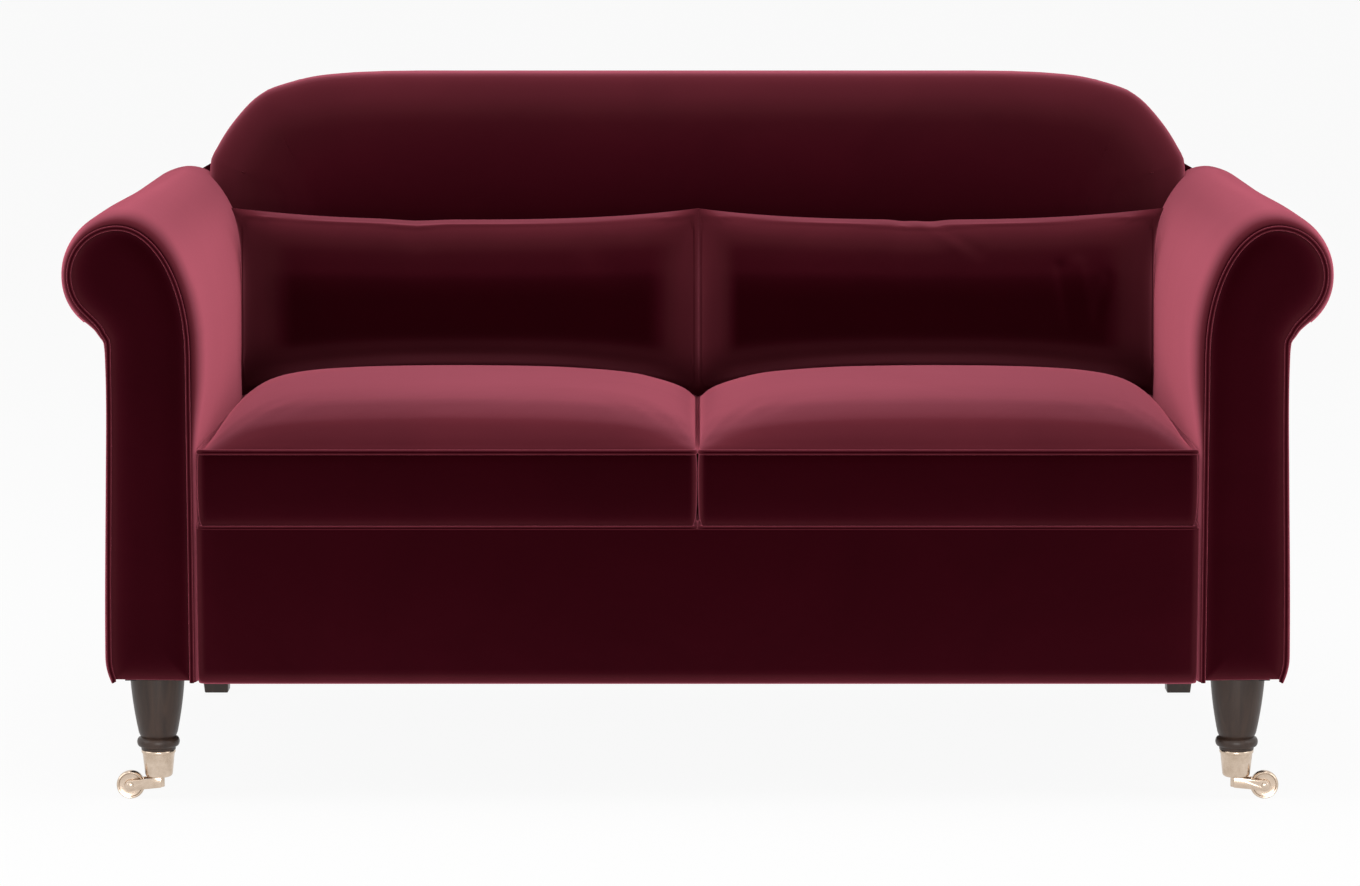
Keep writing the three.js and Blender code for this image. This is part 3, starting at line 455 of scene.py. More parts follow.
def facing_outline(side):
    """The edge of an arm's facing, from the inner foot over the roll to the outer foot.

    Close points are left out, long gaps are filled, and the outer stem is splayed a little.
    """
    node = nodes[f"arm_facing_{side}"]
    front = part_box(node.name)[0].y
    mesh = bmesh.new()
    mesh.from_mesh(node.data)
    bmesh.ops.remove_doubles(mesh, verts=mesh.verts, dist=1e-5)
    edges = [
        edge for edge in mesh.edges
        if all(abs(v.co.y - front) < 1e-5 for v in edge.verts)
        and any(abs(face.normal.y) < 0.5 for face in edge.link_faces)
    ]
    links = {}
    for edge in edges:
        a, b = edge.verts
        links.setdefault(a, []).append(b)
        links.setdefault(b, []).append(a)
    start = min(links, key=lambda v: v.co.z * 20 + abs(v.co.x))
    outline = [start]
    going = max(links[start], key=lambda v: v.co.z)
    while going is not start:
        outline.append(going)
        going = next(v for v in links[going] if v is not outline[-2])
    line = [Vector((v.co.x, v.co.z)) for v in outline]
    mesh.free()
    kept = line[:1]
    for point in line[1:]:
        gap = (point - kept[-1]).length
        if gap > 0.002:
            before, parts = kept[-1], math.ceil(gap / 0.02)
            kept += [before.lerp(point, k / parts) for k in range(1, parts + 1)]
    for i, point in enumerate(kept):
        if i > len(kept) / 2 and point.y < STEM_TOP:
            splay = STEM_SPLAY[0] - STEM_SPLAY[1] * ease(*STEM_HEIGHTS, point.y)
            kept[i] = point + Vector((SIDES[side] * splay, 0))
    return kept


def rear_of_body(height):
    """Where the covers end at the rear panel, at a height."""
    fall = (REAR_CORNER.z - height) * math.tan(BACK_LEAN)
    return REAR_CORNER.y - fall - PANEL_THICKNESS - CLEARANCE


REAR_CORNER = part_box("rear_panel")[1]
FACING_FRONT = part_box("arm_facing_left")[0].y
SEAM_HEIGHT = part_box("outside_arm_left")[1].z
DECK_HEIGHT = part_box("seat_deck")[1].z


# Finishes


OUTPUT_KINDS = {"Colour": "Color", "Roughness": "Float", "Normal": "Vector"}


def new_group(name, inputs, outputs):
    """A shader node group with named sockets, and its two end nodes."""
    group = bpy.data.node_groups.new(name, "ShaderNodeTree")
    sockets = [(label, "INPUT", kind) for kind, labels in inputs.items() for label in labels]
    sockets += [(label, "OUTPUT", OUTPUT_KINDS[label]) for label in outputs]
    for label, way, kind in sockets:
        group.interface.new_socket(name=label, in_out=way, socket_type=f"NodeSocket{kind}")
    return group, group.nodes.new("NodeGroupInput"), group.nodes.new("NodeGroupOutput")


def add_node(tree, kind, settings=(), **values):
    node = tree.nodes.new("ShaderNode" + kind)
    for name, value in dict(settings).items():
        setattr(node, name, value)
    for name, value in values.items():
        node.inputs[name.replace("_", " ")].default_value = value
    return node


def connect(tree, *links):
    """Links a node tree, each link given as node, output, node, input."""
    for source, output, target, entry in links:
        tree.links.new(source.outputs[output], target.inputs[entry])


def mottled_end(group, start, end, labels, textures, tones, **relief):
    """Ends a group: two colours and two polishes, each pair mixed by a texture, and a relief."""
    first, second, low, high = labels
    clouds, gleams, heights = textures
    mix = add_node(group, "Mix", {"data_type": "RGBA"})
    span = add_node(group, "MapRange", From_Min=tones[0], From_Max=tones[1])
    gloss = add_node(group, "MapRange", From_Min=0.3, From_Max=0.7)
    bump = add_node(group, "Bump", **relief)
    connect(
        group,
        (clouds, "Fac", span, "Value"), (span, "Result", mix, "Factor"),
        (start, first, mix, "A"), (start, second, mix, "B"),
        (gleams, "Fac", gloss, "Value"), (start, low, gloss, "To Min"),
        (start, high, gloss, "To Max"), (heights, "Fac", bump, "Height"),
        (mix, "Result", end, "Colour"), (gloss, "Result", end, "Roughness"),
        (bump, "Normal", end, "Normal"),
    )


def pile_group():
    """Velvet pile: slow patches where the pile lies otherwise, and its fine tooth."""
    group, start, end = new_group(
        "Velvet pile", {"Color": ("Deep", "Light"), "Float": ("Patch scale", "Nap lift")},
        ("Colour", "Normal"),
    )
    place = add_node(group, "TexCoord")
    patches = add_node(group, "TexNoise", Detail=3.0, Roughness=0.55, Distortion=0.6)
    tooth = add_node(group, "TexNoise", Scale=900.0, Detail=2.0)
    strokes = add_node(group, "TexNoise", Scale=38.0, Detail=4.0, Roughness=0.7)
    span = add_node(group, "MapRange", From_Min=0.3, From_Max=0.7)
    mix = add_node(group, "Mix", {"data_type": "RGBA"})
    slow = add_node(group, "Bump", Strength=0.2, Distance=0.004)
    brushed = add_node(group, "Bump", Distance=0.0004)
    fine = add_node(group, "Bump", Strength=0.1, Distance=0.0003)
    connect(
        group,
        (place, "Object", patches, "Vector"), (place, "Object", tooth, "Vector"),
        (place, "Object", strokes, "Vector"), (start, "Patch scale", patches, "Scale"),
        (patches, "Fac", span, "Value"), (span, "Result", mix, "Factor"),
        (start, "Deep", mix, "A"), (start, "Light", mix, "B"),
        (patches, "Fac", slow, "Height"), (strokes, "Fac", brushed, "Height"),
        (start, "Nap lift", brushed, "Strength"), (tooth, "Fac", fine, "Height"),
        (slow, "Normal", brushed, "Normal"), (brushed, "Normal", fine, "Normal"),
        (mix, "Result", end, "Colour"), (fine, "Normal", end, "Normal"),
    )
    return group


def grain_group():
    """Wood grain along Z: long fibres that mix its two colours, pores that vary its polish, and
    slight height in them.
    """
    labels = ("Early wood", "Late wood", "Sheen low", "Sheen high")
    group, start, end = new_group(
        "Wood grain", {"Color": labels[:2], "Vector": ("Stretch",), "Float": labels[2:]},
        OUTPUT_KINDS,
    )
    place = add_node(group, "TexCoord")
    stretch = add_node(group, "VectorMath", {"operation": "MULTIPLY"})
    fibre = add_node(group, "TexNoise", Scale=1.0, Detail=6.0, Roughness=0.6, Distortion=0.8)
    pores = add_node(group, "TexNoise", Scale=7.0, Detail=2.0, Roughness=0.5)
    connect(
        group,
        (place, "Object", stretch, 0), (start, "Stretch", stretch, 1),
        (stretch, "Vector", fibre, "Vector"), (stretch, "Vector", pores, "Vector"),
    )
    mottled_end(group, start, end, labels, (fibre, pores, pores), (0.35, 0.65),
                Strength=0.15, Distance=0.0003)
    return group


def metal_group():
    """Cast and polished metal: faint clouding of colour and polish, and fine wear."""
    labels = ("Bright", "Tarnished", "Polish low", "Polish high")
    group, start, end = new_group(
        "Polished metal", {"Color": labels[:2], "Float": labels[2:]}, OUTPUT_KINDS
    )
    place = add_node(group, "TexCoord")
    cloud = add_node(group, "TexNoise", Scale=70.0, Detail=4.0, Roughness=0.6)
    scratch = add_node(group, "TexNoise", Scale=1400.0, Detail=2.0)
    connect(group, (place, "Object", cloud, "Vector"), (place, "Object", scratch, "Vector"))
    mottled_end(group, start, end, labels, (cloud, cloud, scratch), (0.35, 0.75),
                Strength=0.06, Distance=0.0001)
    return group


def weave_group():
    """Plain weave: crossing threads over and under, with uneven yarn."""
    group, start, end = new_group(
        "Plain weave", {"Color": ("Thread", "Gap"), "Float": ("Threads",)}, ("Colour", "Normal")
    )
    place = add_node(group, "TexCoord")
    warp, weft = (add_node(group, "TexWave", {"bands_direction": way}, Distortion=0.6)
                  for way in "XY")
    cross = add_node(group, "Math", {"operation": "MAXIMUM"})
    mix = add_node(group, "Mix", {"data_type": "RGBA"})
    bump = add_node(group, "Bump", Strength=0.5, Distance=0.0006)
    connect(
        group,
        (place, "Object", warp, "Vector"), (start, "Threads", warp, "Scale"),
        (place, "Object", weft, "Vector"), (start, "Threads", weft, "Scale"),
        (warp, "Fac", cross, 0), (weft, "Fac", cross, 1), (cross, "Value", mix, "Factor"),
        (start, "Gap", mix, "A"), (start, "Thread", mix, "B"),
        (cross, "Value", bump, "Height"), (mix, "Result", end, "Colour"),
        (bump, "Normal", end, "Normal"),
    )
    return group


def new_material(name, group, values, **shader_values):
    """A Principled material fed by one group's Colour, Roughness and Normal."""
    material = bpy.data.materials.new(name)
    material.use_nodes = True
    tree = material.node_tree
    shader = tree.nodes["Principled BSDF"]
    for label, value in shader_values.items():
        shader.inputs[label.replace("_", " ")].default_value = value
    source = add_node(tree, "Group", {"node_tree": group}, **values)
    for label, target in {"Colour": "Base Color", "Roughness": "Roughness",
                          "Normal": "Normal"}.items():
        if label in source.outputs:
            connect(tree, (source, label, shader, target))
    return material


pile = pile_group()
grain = grain_group()
metal = metal_group()
weave = weave_group()

VELVET_SHEEN = dict(
    Sheen_Weight=0.9, Sheen_Roughness=0.4, Sheen_Tint=(0.88, 0.19, 0.265, 1),
    Roughness=0.9, Specular_IOR_Level=0.0,
)
# Painted sheen: the velvet's base colour, painted paler as the surface is seen more and more from
# the side
PAINTED_SHEEN_STOPS = (
    (0, (0.0145, 0, 0.0014)), (0.04, (0.029, 0.002, 0.0046)), (0.1, (0.045, 0.006, 0.0092)),
    (0.2, (0.06, 0.0083, 0.013)), (0.5, (0.078, 0.0105, 0.0165)), (0.65, (0.125, 0.029, 0.042)),
    (0.8, (0.182, 0.045, 0.066)), (0.9, (0.125, 0.036, 0.055)), (1, (0.05, 0.015, 0.03)),
)


def velvet_finish(name, patch_scale, nap_lift):
    """Wine-red velvet: deep where the surface faces the eye, with painted sheen that makes its
    colour paler where it is seen aside.
    """
    material = new_material(
        name, pile,
        {"Deep": (0.9, 0.9, 0.9, 1), "Light": (1.06, 1.06, 1.06, 1),
         "Patch scale": patch_scale, "Nap lift": nap_lift},
        **VELVET_SHEEN,
    )
    tree = material.node_tree
    source = next(node for node in tree.nodes if node.type == "GROUP")
    # Painted sheen: the facing weight picks a paler base colour from the ramp as the surface turns
    # away from the eye
    aside = add_node(tree, "LayerWeight", Blend=0.5)
    painted_sheen_ramp = add_node(tree, "ValToRGB")
    stops = painted_sheen_ramp.color_ramp.elements
    while len(stops) < len(PAINTED_SHEEN_STOPS):
        stops.new(0.5)
    for stop, (place, colour) in zip(stops, PAINTED_SHEEN_STOPS):
        stop.position = place
        stop.color = (*colour, 1)
    tone = add_node(tree, "Mix", {"data_type": "RGBA", "blend_type": "MULTIPLY"}, Factor=1)
    connect(
        tree,
        (source, "Normal", aside, "Normal"), (aside, "Facing", painted_sheen_ramp, "Fac"),
        (painted_sheen_ramp, "Color", tone, "A"), (source, "Colour", tone, "B"),
        (tone, "Result", tree.nodes["Principled BSDF"], "Base Color"),
    )
    return material


velvet = velvet_finish("Wine velvet", 5.0, 0.2)
velvet_piping = velvet_finish("Wine velvet piping", 30.0, 0.12)
stained_wood = new_material(
    "Stained leg wood", grain,
    {"Early wood": (0.045, 0.024, 0.016, 1), "Late wood": (0.024, 0.0125, 0.0085, 1),
     "Stretch": (90, 90, 7), "Sheen low": 0.38, "Sheen high": 0.5},
    Coat_Weight=0.12, Coat_Roughness=0.3, Specular_IOR_Level=0.35,
)
frame_timber = new_material(
    "Frame timber", grain,
    {"Early wood": (0.5, 0.33, 0.18, 1), "Late wood": (0.36, 0.22, 0.11, 1),
     "Stretch": (30, 30, 3), "Sheen low": 0.7, "Sheen high": 0.85},
)
brass = new_material(
    "Pale brass", metal,
    {"Bright": (0.68, 0.55, 0.44, 1), "Tarnished": (0.5, 0.385, 0.29, 1),
     "Polish low": 0.14, "Polish high": 0.3},
    Metallic=1.0,
)
steel = new_material(
    "Plain steel", metal,
    {"Bright": (0.42, 0.42, 0.41, 1), "Tarnished": (0.26, 0.25, 0.24, 1),
     "Polish low": 0.3, "Polish high": 0.5},
    Metallic=1.0,
)
hessian = new_material(
    "Hessian", weave,
    {"Thread": (0.25, 0.18, 0.1, 1), "Gap": (0.1, 0.065, 0.035, 1), "Threads": 180.0},
    Roughness=0.95,
)
black_lining = new_material(
    "Black lining", weave,
    {"Thread": (0.012, 0.012, 0.014, 1), "Gap": (0.005, 0.005, 0.006, 1), "Threads": 600.0},
    Roughness=0.9,
)

FINISHES = {
    "velvet": velvet, "timber": frame_timber, "dark_wood": stained_wood, "brass": brass,
    "steel": steel, "webbing": hessian, "lining": black_lining,
}
for subpart in frame["record"]["subparts"]:
    data = nodes[subpart["node"]].data
    data.materials.clear()
    data.materials.append(FINISHES[subpart["material_slot"]])


# Arms


def pad_swell(point, depth):
    """How far the padding stands out past the facing, at a point of its edge."""
    away = Vector((abs(point.x), point.y)) - ROLL_CENTRE
    turn = math.degrees(math.atan2(away.y, away.x))
    if turn < -90 or (turn < 0 and away.x < 0):
        turn += 360
    front, rear = along(SWELL_FRONT, turn), along(SWELL_REAR, turn)
    share = ease(*SWELL_FADE, depth)
    round_depth = ROUND_LEAST + front * ROUND_PER_SWELL
    near = max(1 - depth / round_depth, 0)
    full = front * (1 - share) + rear * share
    return -START_INSIDE + (full + START_INSIDE) * math.sqrt(1 - near ** 2)


def cover(line, normals, depths, steps, swell, rear):
    """A sheet from an arm's edge to the rear, rounded over its front edge.

    depths are those of the rounded part. Even steps go on from there to the rear.
    """
    def place(u, v):
        i = round(u * (len(line) - 1))
        k = round(v * (len(depths) + steps - 1))
        end = rear(line[i])
        if k < len(depths):
            depth = depths[k]
        else:
            depth = depths[-1] + (end - depths[-1]) * (k - len(depths) + 1) / steps
        at = line[i] + normals[i] * swell(line[i], depth)
        return Vector((at.x, FACING_FRONT + min(depth, end) + COVER_BEHIND, at.y))

    return grid_sheet(len(line) - 1, len(depths) + steps - 1, place)


def arm_cover(side):
    """The padded cover of an arm, from its inner foot over the roll to the seam below it."""
    outline = facing_outline(side)
    top = max(range(len(outline)), key=lambda i: outline[i].y)
    end = next(i for i in range(top, len(outline)) if outline[i].y < SEAM_HEIGHT)
    line = resampled(outline[:end + 1], 150)
    depths = [0, 0.0005, 0.0015, 0.003, 0.005, 0.008, 0.012, 0.017, 0.023, 0.03, 0.038, 0.048,
              0.06, 0.075]

    def rear(at):
        """Below the deck the cover ends behind its rounded front, inside the seat."""
        return depths[-1] if at.y < DECK_HEIGHT else rear_of_body(at.y) - FACING_FRONT

    piece = cover(line, away_from_middle(line, side), depths, 26, pad_swell, rear)
    middle = outline[top].x
    face_towards(piece, lambda at: Vector((at.x - middle, 0, at.z - SEAM_HEIGHT)))
    thick(piece, COVER_THICKNESS)
    smooth(piece)
    dress(piece, f"arm_cover_{side}", "sofa_frame", "velvet", f"arm_pad_{side}")


def outside_cover(side):
    """The plain cover of an arm's outside, from the seam under the roll to the foot."""
    outline = facing_outline(side)
    top = max(range(len(outline)), key=lambda i: outline[i].y)
    start = next(i for i in range(top, len(outline)) if outline[i].y < SEAM_HEIGHT)
    line = [p for p in resampled(outline[start - 1:], 110) if p.y < SEAM_HEIGHT + 0.002]
    normals = square_to(line)
    if normals[len(normals) // 2].x * SIDES[side] < 0:
        normals = [-n for n in normals]
    depths = [0, 0.0004, 0.001, 0.002, 0.0035, 0.0055, 0.0085, 0.012, OUTSIDE_ROUND]

    def swell(at, depth):
        near = max(1 - depth / OUTSIDE_ROUND, 0)
        full = along(OUTSIDE_SWELL, at.y)
        return -START_INSIDE + (full + START_INSIDE) * math.sqrt(1 - near ** 2)

    piece = cover(line, normals, depths, 14, swell,
                  lambda at: rear_of_body(at.y) - FACING_FRONT)
    face_towards(piece, lambda at: Vector((SIDES[side], 0, 0)))
    thick(piece, COVER_THICKNESS)
    smooth(piece)
    dress(piece, f"outside_cover_{side}", "sofa_frame", "velvet", f"outside_arm_{side}")


def facing_panel(side):
    """The scroll-shaped panel at the front of an arm, drawn over thin wadding."""
    outline = facing_outline(side)
    lap = FACING_LAP + FACING_UNDER
    edge = [p - n * lap for p, n in zip(outline, away_from_middle(outline, side))]
    edge = down_to_foot(resampled(edge, 230))
    middle = (abs(edge[0].x) + abs(edge[-1].x)) / 2
    edge += [edge[-1].lerp(edge[0], i / 20) for i in range(1, 20)]
    inset = distance_from(edge + edge[:1])
    steps = [0, 0.0003, 0.0008, 0.0015, 0.0025, 0.004, 0.006, 0.009, 0.013, 0.018]
    shares = [0.15, 0.35, 0.6, 0.9]
    foot = FACING_FOOT[0]

    def spine(height):
        """The point of the panel's middle line that the edge at this height draws in to."""
        share = min(max((height - foot) / (SEAM_HEIGHT - 0.01 - foot), 0), 1)
        low = foot + FACING_HEM
        height = low + (ROLL_CENTRE.y - low) * share
        bend = ease(FACING_BEND, ROLL_CENTRE.y, height)
        return Vector((SIDES[side] * (middle + (ROLL_CENTRE.x - middle) * bend), height))

    def place(u, v):
        i = round(u * len(edge)) % len(edge)
        k = round(v * (len(steps) + len(shares) - 1))
        goal = spine(edge[i].y)
        inwards = (goal - edge[i]).normalized()
        at = edge[i] + inwards * steps[min(k, len(steps) - 1)]
        if k >= len(steps):
            at = at.lerp(goal, shares[k - len(steps)])
        return Vector((at.x, FACING_FRONT - along(FACING_FORM, inset(at)), at.y))

    piece = grid_sheet(len(edge), len(steps) + len(shares) - 1, place)
    with mesh_of(piece) as mesh:
        bmesh.ops.remove_doubles(mesh, verts=mesh.verts, dist=1e-6)
        hole = [line for line in mesh.edges if line.is_boundary
                and line.verts[0].co.y < FACING_FRONT - 0.002]
        bmesh.ops.holes_fill(mesh, edges=hole)
        bmesh.ops.recalc_face_normals(mesh, faces=mesh.faces)
    face_towards(piece, lambda at: Vector((0, -1, 0)))
    thick(piece, BORDER_THICKNESS)
    smooth(piece, 50)
    dress(piece, f"facing_panel_{side}", "sofa_frame", "velvet", f"arm_facing_{side}")


def facing_welt(side):
    """The piping sewn round an arm's facing, down to a little below its feet."""
    outline = facing_outline(side)
    depth = FACING_FRONT - PIPING_RADIUS * 0.55
    line = [p - n * FACING_LAP for p, n in zip(outline, away_from_middle(outline, side))]
    points = [Vector((p.x, depth, p.y)) for p in down_to_foot(resampled(line, 260), PIPING_TAIL)]
    piece = tube_along(points, PIPING_RADIUS, resolution=5)
    dress(piece, f"facing_welt_{side}", "sofa_frame", "velvet", f"facing_piping_{side}",
          velvet_piping)


# Back and front of the body


def padded_back():
    """The padded back: crowned, leaning, and rounded over the top and at its ends."""
    half = [Vector(p) for p in BACK_OUTLINE]
    outline = resampled(half + [Vector((-p.x, p.y)) for p in reversed(half[:-1])], 241)
    inward = [-n for n in square_to(outline)]
    if inward[len(inward) // 2].y > 0:
        inward = [-n for n in inward]
    rings = [0, 0.0006, 0.0018, 0.004, 0.007, 0.011, 0.016, 0.023, 0.031, 0.041, 0.053, 0.067,
             0.083, 0.1]
    steps = 14
    inset = distance_from(outline)

    def place(u, v):
        i = round(u * (len(outline) - 1))
        k = round(v * (len(rings) + steps - 1))
        at = outline[i] + inward[i] * rings[min(k, len(rings) - 1)]
        at.y = max(at.y, BACK_FOOT)
        if k >= len(rings):
            wide, high = BACK_GOAL
            goal = Vector((min(max(at.x, -wide), wide), high))
            at = at.lerp(goal, (k - len(rings) + 1) / steps)
        plane = (BACK_PLANE + (at.y - BACK_FOOT) * BACK_SLOPE
                 + BACK_BOW * (abs(at.x) / BACK_BOW_AT) ** 3)
        near = max(1 - inset(at) / BACK_ROUND, 0)
        back = BACK_ROUND_DEPTH * (1 - math.sqrt(1 - near ** 2))
        back += BACK_CROWN * max(1 - inset(at) / BACK_CROWN_REACH, 0) ** 2
        return Vector((at.x, FACING_FRONT + plane + back, at.y))

    piece = grid_sheet(len(outline) - 1, len(rings) + steps - 1, place)
    with mesh_of(piece) as mesh:
        bmesh.ops.remove_doubles(mesh, verts=mesh.verts, dist=1e-6)
        rim = [edge for edge in mesh.edges if edge.is_boundary]
        made = bmesh.ops.extrude_edge_only(mesh, edges=rim)["geom"]
        for vertex in (item for item in made if isinstance(item, bmesh.types.BMVert)):
            vertex.co.y = rear_of_body(vertex.co.z)
        bmesh.ops.holes_fill(mesh, edges=[edge for edge in mesh.edges if edge.is_boundary])
        bmesh.ops.recalc_face_normals(mesh, faces=mesh.faces)
    smooth(piece, 50)
    dress(piece, "padded_back", "sofa_frame", "velvet", "back_pad")


def rear_cover():
    """The plain cloth panel over the rear of the sofa."""
    piece = copy_of("rear_panel")
    ease_edges(piece, 0.0024, 3, 50)
    smooth(piece, 50)
    dress(piece, "rear_cover", "sofa_frame", "velvet", "rear_panel")


def seat_border():
    """The upholstered border under the seat cushions, rolled under at its foot."""
    low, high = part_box("front_border")
    low.x, high.x = low.x - BORDER_WIDER, high.x + BORDER_WIDER
    top = high.z - BORDER_LOWER
    steps = [0, 0.0008, 0.0018, 0.003, 0.0045, 0.0065, 0.009, 0.012, 0.016, 0.022, 0.03, 0.042,
             0.06]
    across = ([low.x + step for step in steps]
              + [low.x + (high.x - low.x) * i / 12 for i in range(1, 12)]
              + [high.x - step for step in reversed(steps)])
    up = [low.z + step for step in steps]
    up += [*BORDER_LEVELS, *(top - step for step in reversed(steps[:10]))]

    def fall(distance, radius):
        near = min(max(1 - distance / radius, 0), 1)
        return radius * (1 - math.sqrt(1 - near ** 2))

    def place(u, v):
        x, z = across[round(u * (len(across) - 1))], up[round(v * (len(up) - 1))]
        end = min(x - low.x, high.x - x)
        rounds = map(fall, (z - low.z, end, top - z), BORDER_ROUNDS)
        tucks = (deep * max(1 - distance / reach, 0) ** 2 for distance, (deep, reach) in
                 ((z - low.z, BORDER_TUCK), (end, BORDER_END_TUCK)))
        return Vector((x, low.y - BORDER_FORWARD + sum(rounds) + sum(tucks), z))

    piece = grid_sheet(len(across) - 1, len(up) - 1, place)
    face_towards(piece, lambda at: Vector((0, -1, 0)))
    thick(piece, BORDER_THICKNESS)
    smooth(piece, 60)
    dress(piece, "seat_border", "sofa_frame", "velvet", "front_border")


# Loose cushions


def swollen(piece, reach, pinned):
    """Stuffs a cover by cloth pressure; no point moves further than reach."""
    hold = piece.vertex_groups.new(name="sewn")
    hold.add([v.index for v in piece.data.vertices if pinned(v.index, v.co)], 1.0, "REPLACE")
    rest = [v.co.copy() for v in piece.data.vertices]
    pick(piece)
    cloth = piece.modifiers.new("Stuffing", "CLOTH")
    cloth.settings.quality = 4
    cloth.settings.use_pressure = True
    cloth.settings.uniform_pressure_force = PRESSURE
    cloth.settings.effector_weights.gravity = 0
    cloth.settings.tension_stiffness = 12
    cloth.settings.compression_stiffness = 12
    cloth.settings.bending_stiffness = 0.4
    cloth.settings.vertex_group_mass = hold.name
    cloth.settings.pin_stiffness = 1.0
    cloth.collision_settings.use_collision = False
    cloth.collision_settings.use_self_collision = False
    cloth.point_cache.frame_start = 1
    cloth.point_cache.frame_end = FRAMES
    for moment in range(1, FRAMES + 1):
        scene.frame_set(moment)
    shaped = piece.evaluated_get(bpy.context.evaluated_depsgraph_get())
    moved = [v.co.copy() for v in shaped.data.vertices]
    piece.modifiers.remove(cloth)
    piece.vertex_groups.remove(hold)
    scene.frame_set(1)
    for vertex, before, after in zip(piece.data.vertices, rest, moved):
        step = after - before
        if step.length > reach:
            step.length = reach
        vertex.co = before + step


def boxed(cuts):
    """A cube from -1 to 1, cut fine enough to be shaped."""
    deselect()
    bpy.ops.mesh.primitive_cube_add(size=2)
    piece = bpy.context.object
    edit(piece, bpy.ops.mesh.subdivide, number_cuts=cuts)
    return piece


def seat_cushion(side):
    """A boxed seat cushion: crowned top, full border, piping along both edges."""
    low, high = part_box(f"seat_cushion_{side}")
    base = DECK_HEIGHT + CLEARANCE
    pivot = Vector((0, FACING_FRONT, base))
    raked = Matrix.Translation(pivot) @ Matrix.Rotation(-RAKE, 4, "X") @ Matrix.Translation(-pivot)
    front = FACING_FRONT + SEAT_INSET[1]
    half_x = (high.x - low.x) / 2 - SEAT_INSET[0]
    half_y = SEAT_DEPTH / 2 - SEAT_INSET[1]
    middle = Vector(((low.x + high.x) / 2, front + half_y))
    top_edge = base + SEAT_BORDER

    def in_plan(a, b, reach):
        """A point of the cushion's outline or inside it, its corners rounded."""
        at = Vector((a * (half_x + reach), b * (half_y + reach)))
        inner = Vector((min(max(at.x, SEAT_CORNER - half_x), half_x - SEAT_CORNER),
                        min(max(at.y, SEAT_CORNER - half_y), half_y - SEAT_CORNER)))
        out = at - inner
        if out.length > 1e-9:
            out *= max(abs(out.x), abs(out.y)) / out.length
        return middle + inner + out

    def crown(at):
        from_arm = (at.x - low.x) if side == "left" else (high.x - at.x)
        from_middle = (high.x - at.x) if side == "left" else (at.x - low.x)
        return (along(SEAT_CROWN_ALONG, at.y - front) * along(SEAT_CROWN_ARM_END, from_arm)
                * along(SEAT_CROWN_MIDDLE_END, from_middle))

    piece = boxed(SEAT_CUTS)
    loose = set()
    for vertex in piece.data.vertices:
        a, b, c = vertex.co
        sa, sb = (math.copysign(math.sin(abs(k) * math.pi / 2), k) for k in (a, b))
        if c > 0.999:
            at = in_plan(sa, sb, SEAT_BORDER_FORM[-1][1])
            vertex.co = Vector((at.x, at.y, top_edge + crown(at)))
            loose.add(vertex.index)
        elif c < -0.999:
            at = in_plan(sa, sb, SEAT_BORDER_FORM[0][1])
            vertex.co = Vector((at.x, at.y, base))
        else:
            height = (c + 1) / 2 * SEAT_BORDER
            at = in_plan(sa, sb, along(SEAT_BORDER_FORM, height))
            vertex.co = Vector((at.x, at.y, base + height))
    swollen(piece, SEAT_REACH, lambda i, co: i not in loose or co.z < top_edge + SEAT_HELD)
    pick(piece)
    bpy.ops.object.shade_smooth()
    piece.data.transform(raked)
    dress(piece, f"boxed_cushion_{side}", f"{side}_seat_cushion", "velvet",
          f"seat_cushion_{side}")
    count = CORD_SIDE_POINTS
    for label, height, drop in (("top", top_edge - CORD_SINK, 0),
                                ("bottom", base + CUSHION_PIPING - CORD_SINK, CORD_DROP)):
        points = []
        for index in range(4 * count):
            quarter, share = index // count, (index % count) / count * 2 - 1
            share = math.sin(share * math.pi / 2)
            a, b = ((1, share), (-share, 1), (-1, -share), (share, -1))[quarter]
            at = in_plan(a, b, CORD_INSET)
            sunk = drop * (1 - ease(*CORD_RISE, at.y - front))
            points.append(Vector((at.x, at.y, height - sunk)))
        cord = tube_along(points, CUSHION_PIPING, closed=True)
        cord.data.transform(raked)
        dress(cord, f"cushion_welt_{label}_{side}", f"{side}_seat_cushion", "velvet",
              material=velvet_piping)


def fold(at, start, end, width, depth):
    """How deep a soft fold along a line is at a point."""
    start, end = Vector(start), Vector(end)
    line = end - start
    share = min(max((at - start).dot(line) / line.length_squared, 0), 1)
    away = (at - start - line * share).length / width
    return depth * math.exp(-away ** 2) * (1 - FOLD_FADE * share)


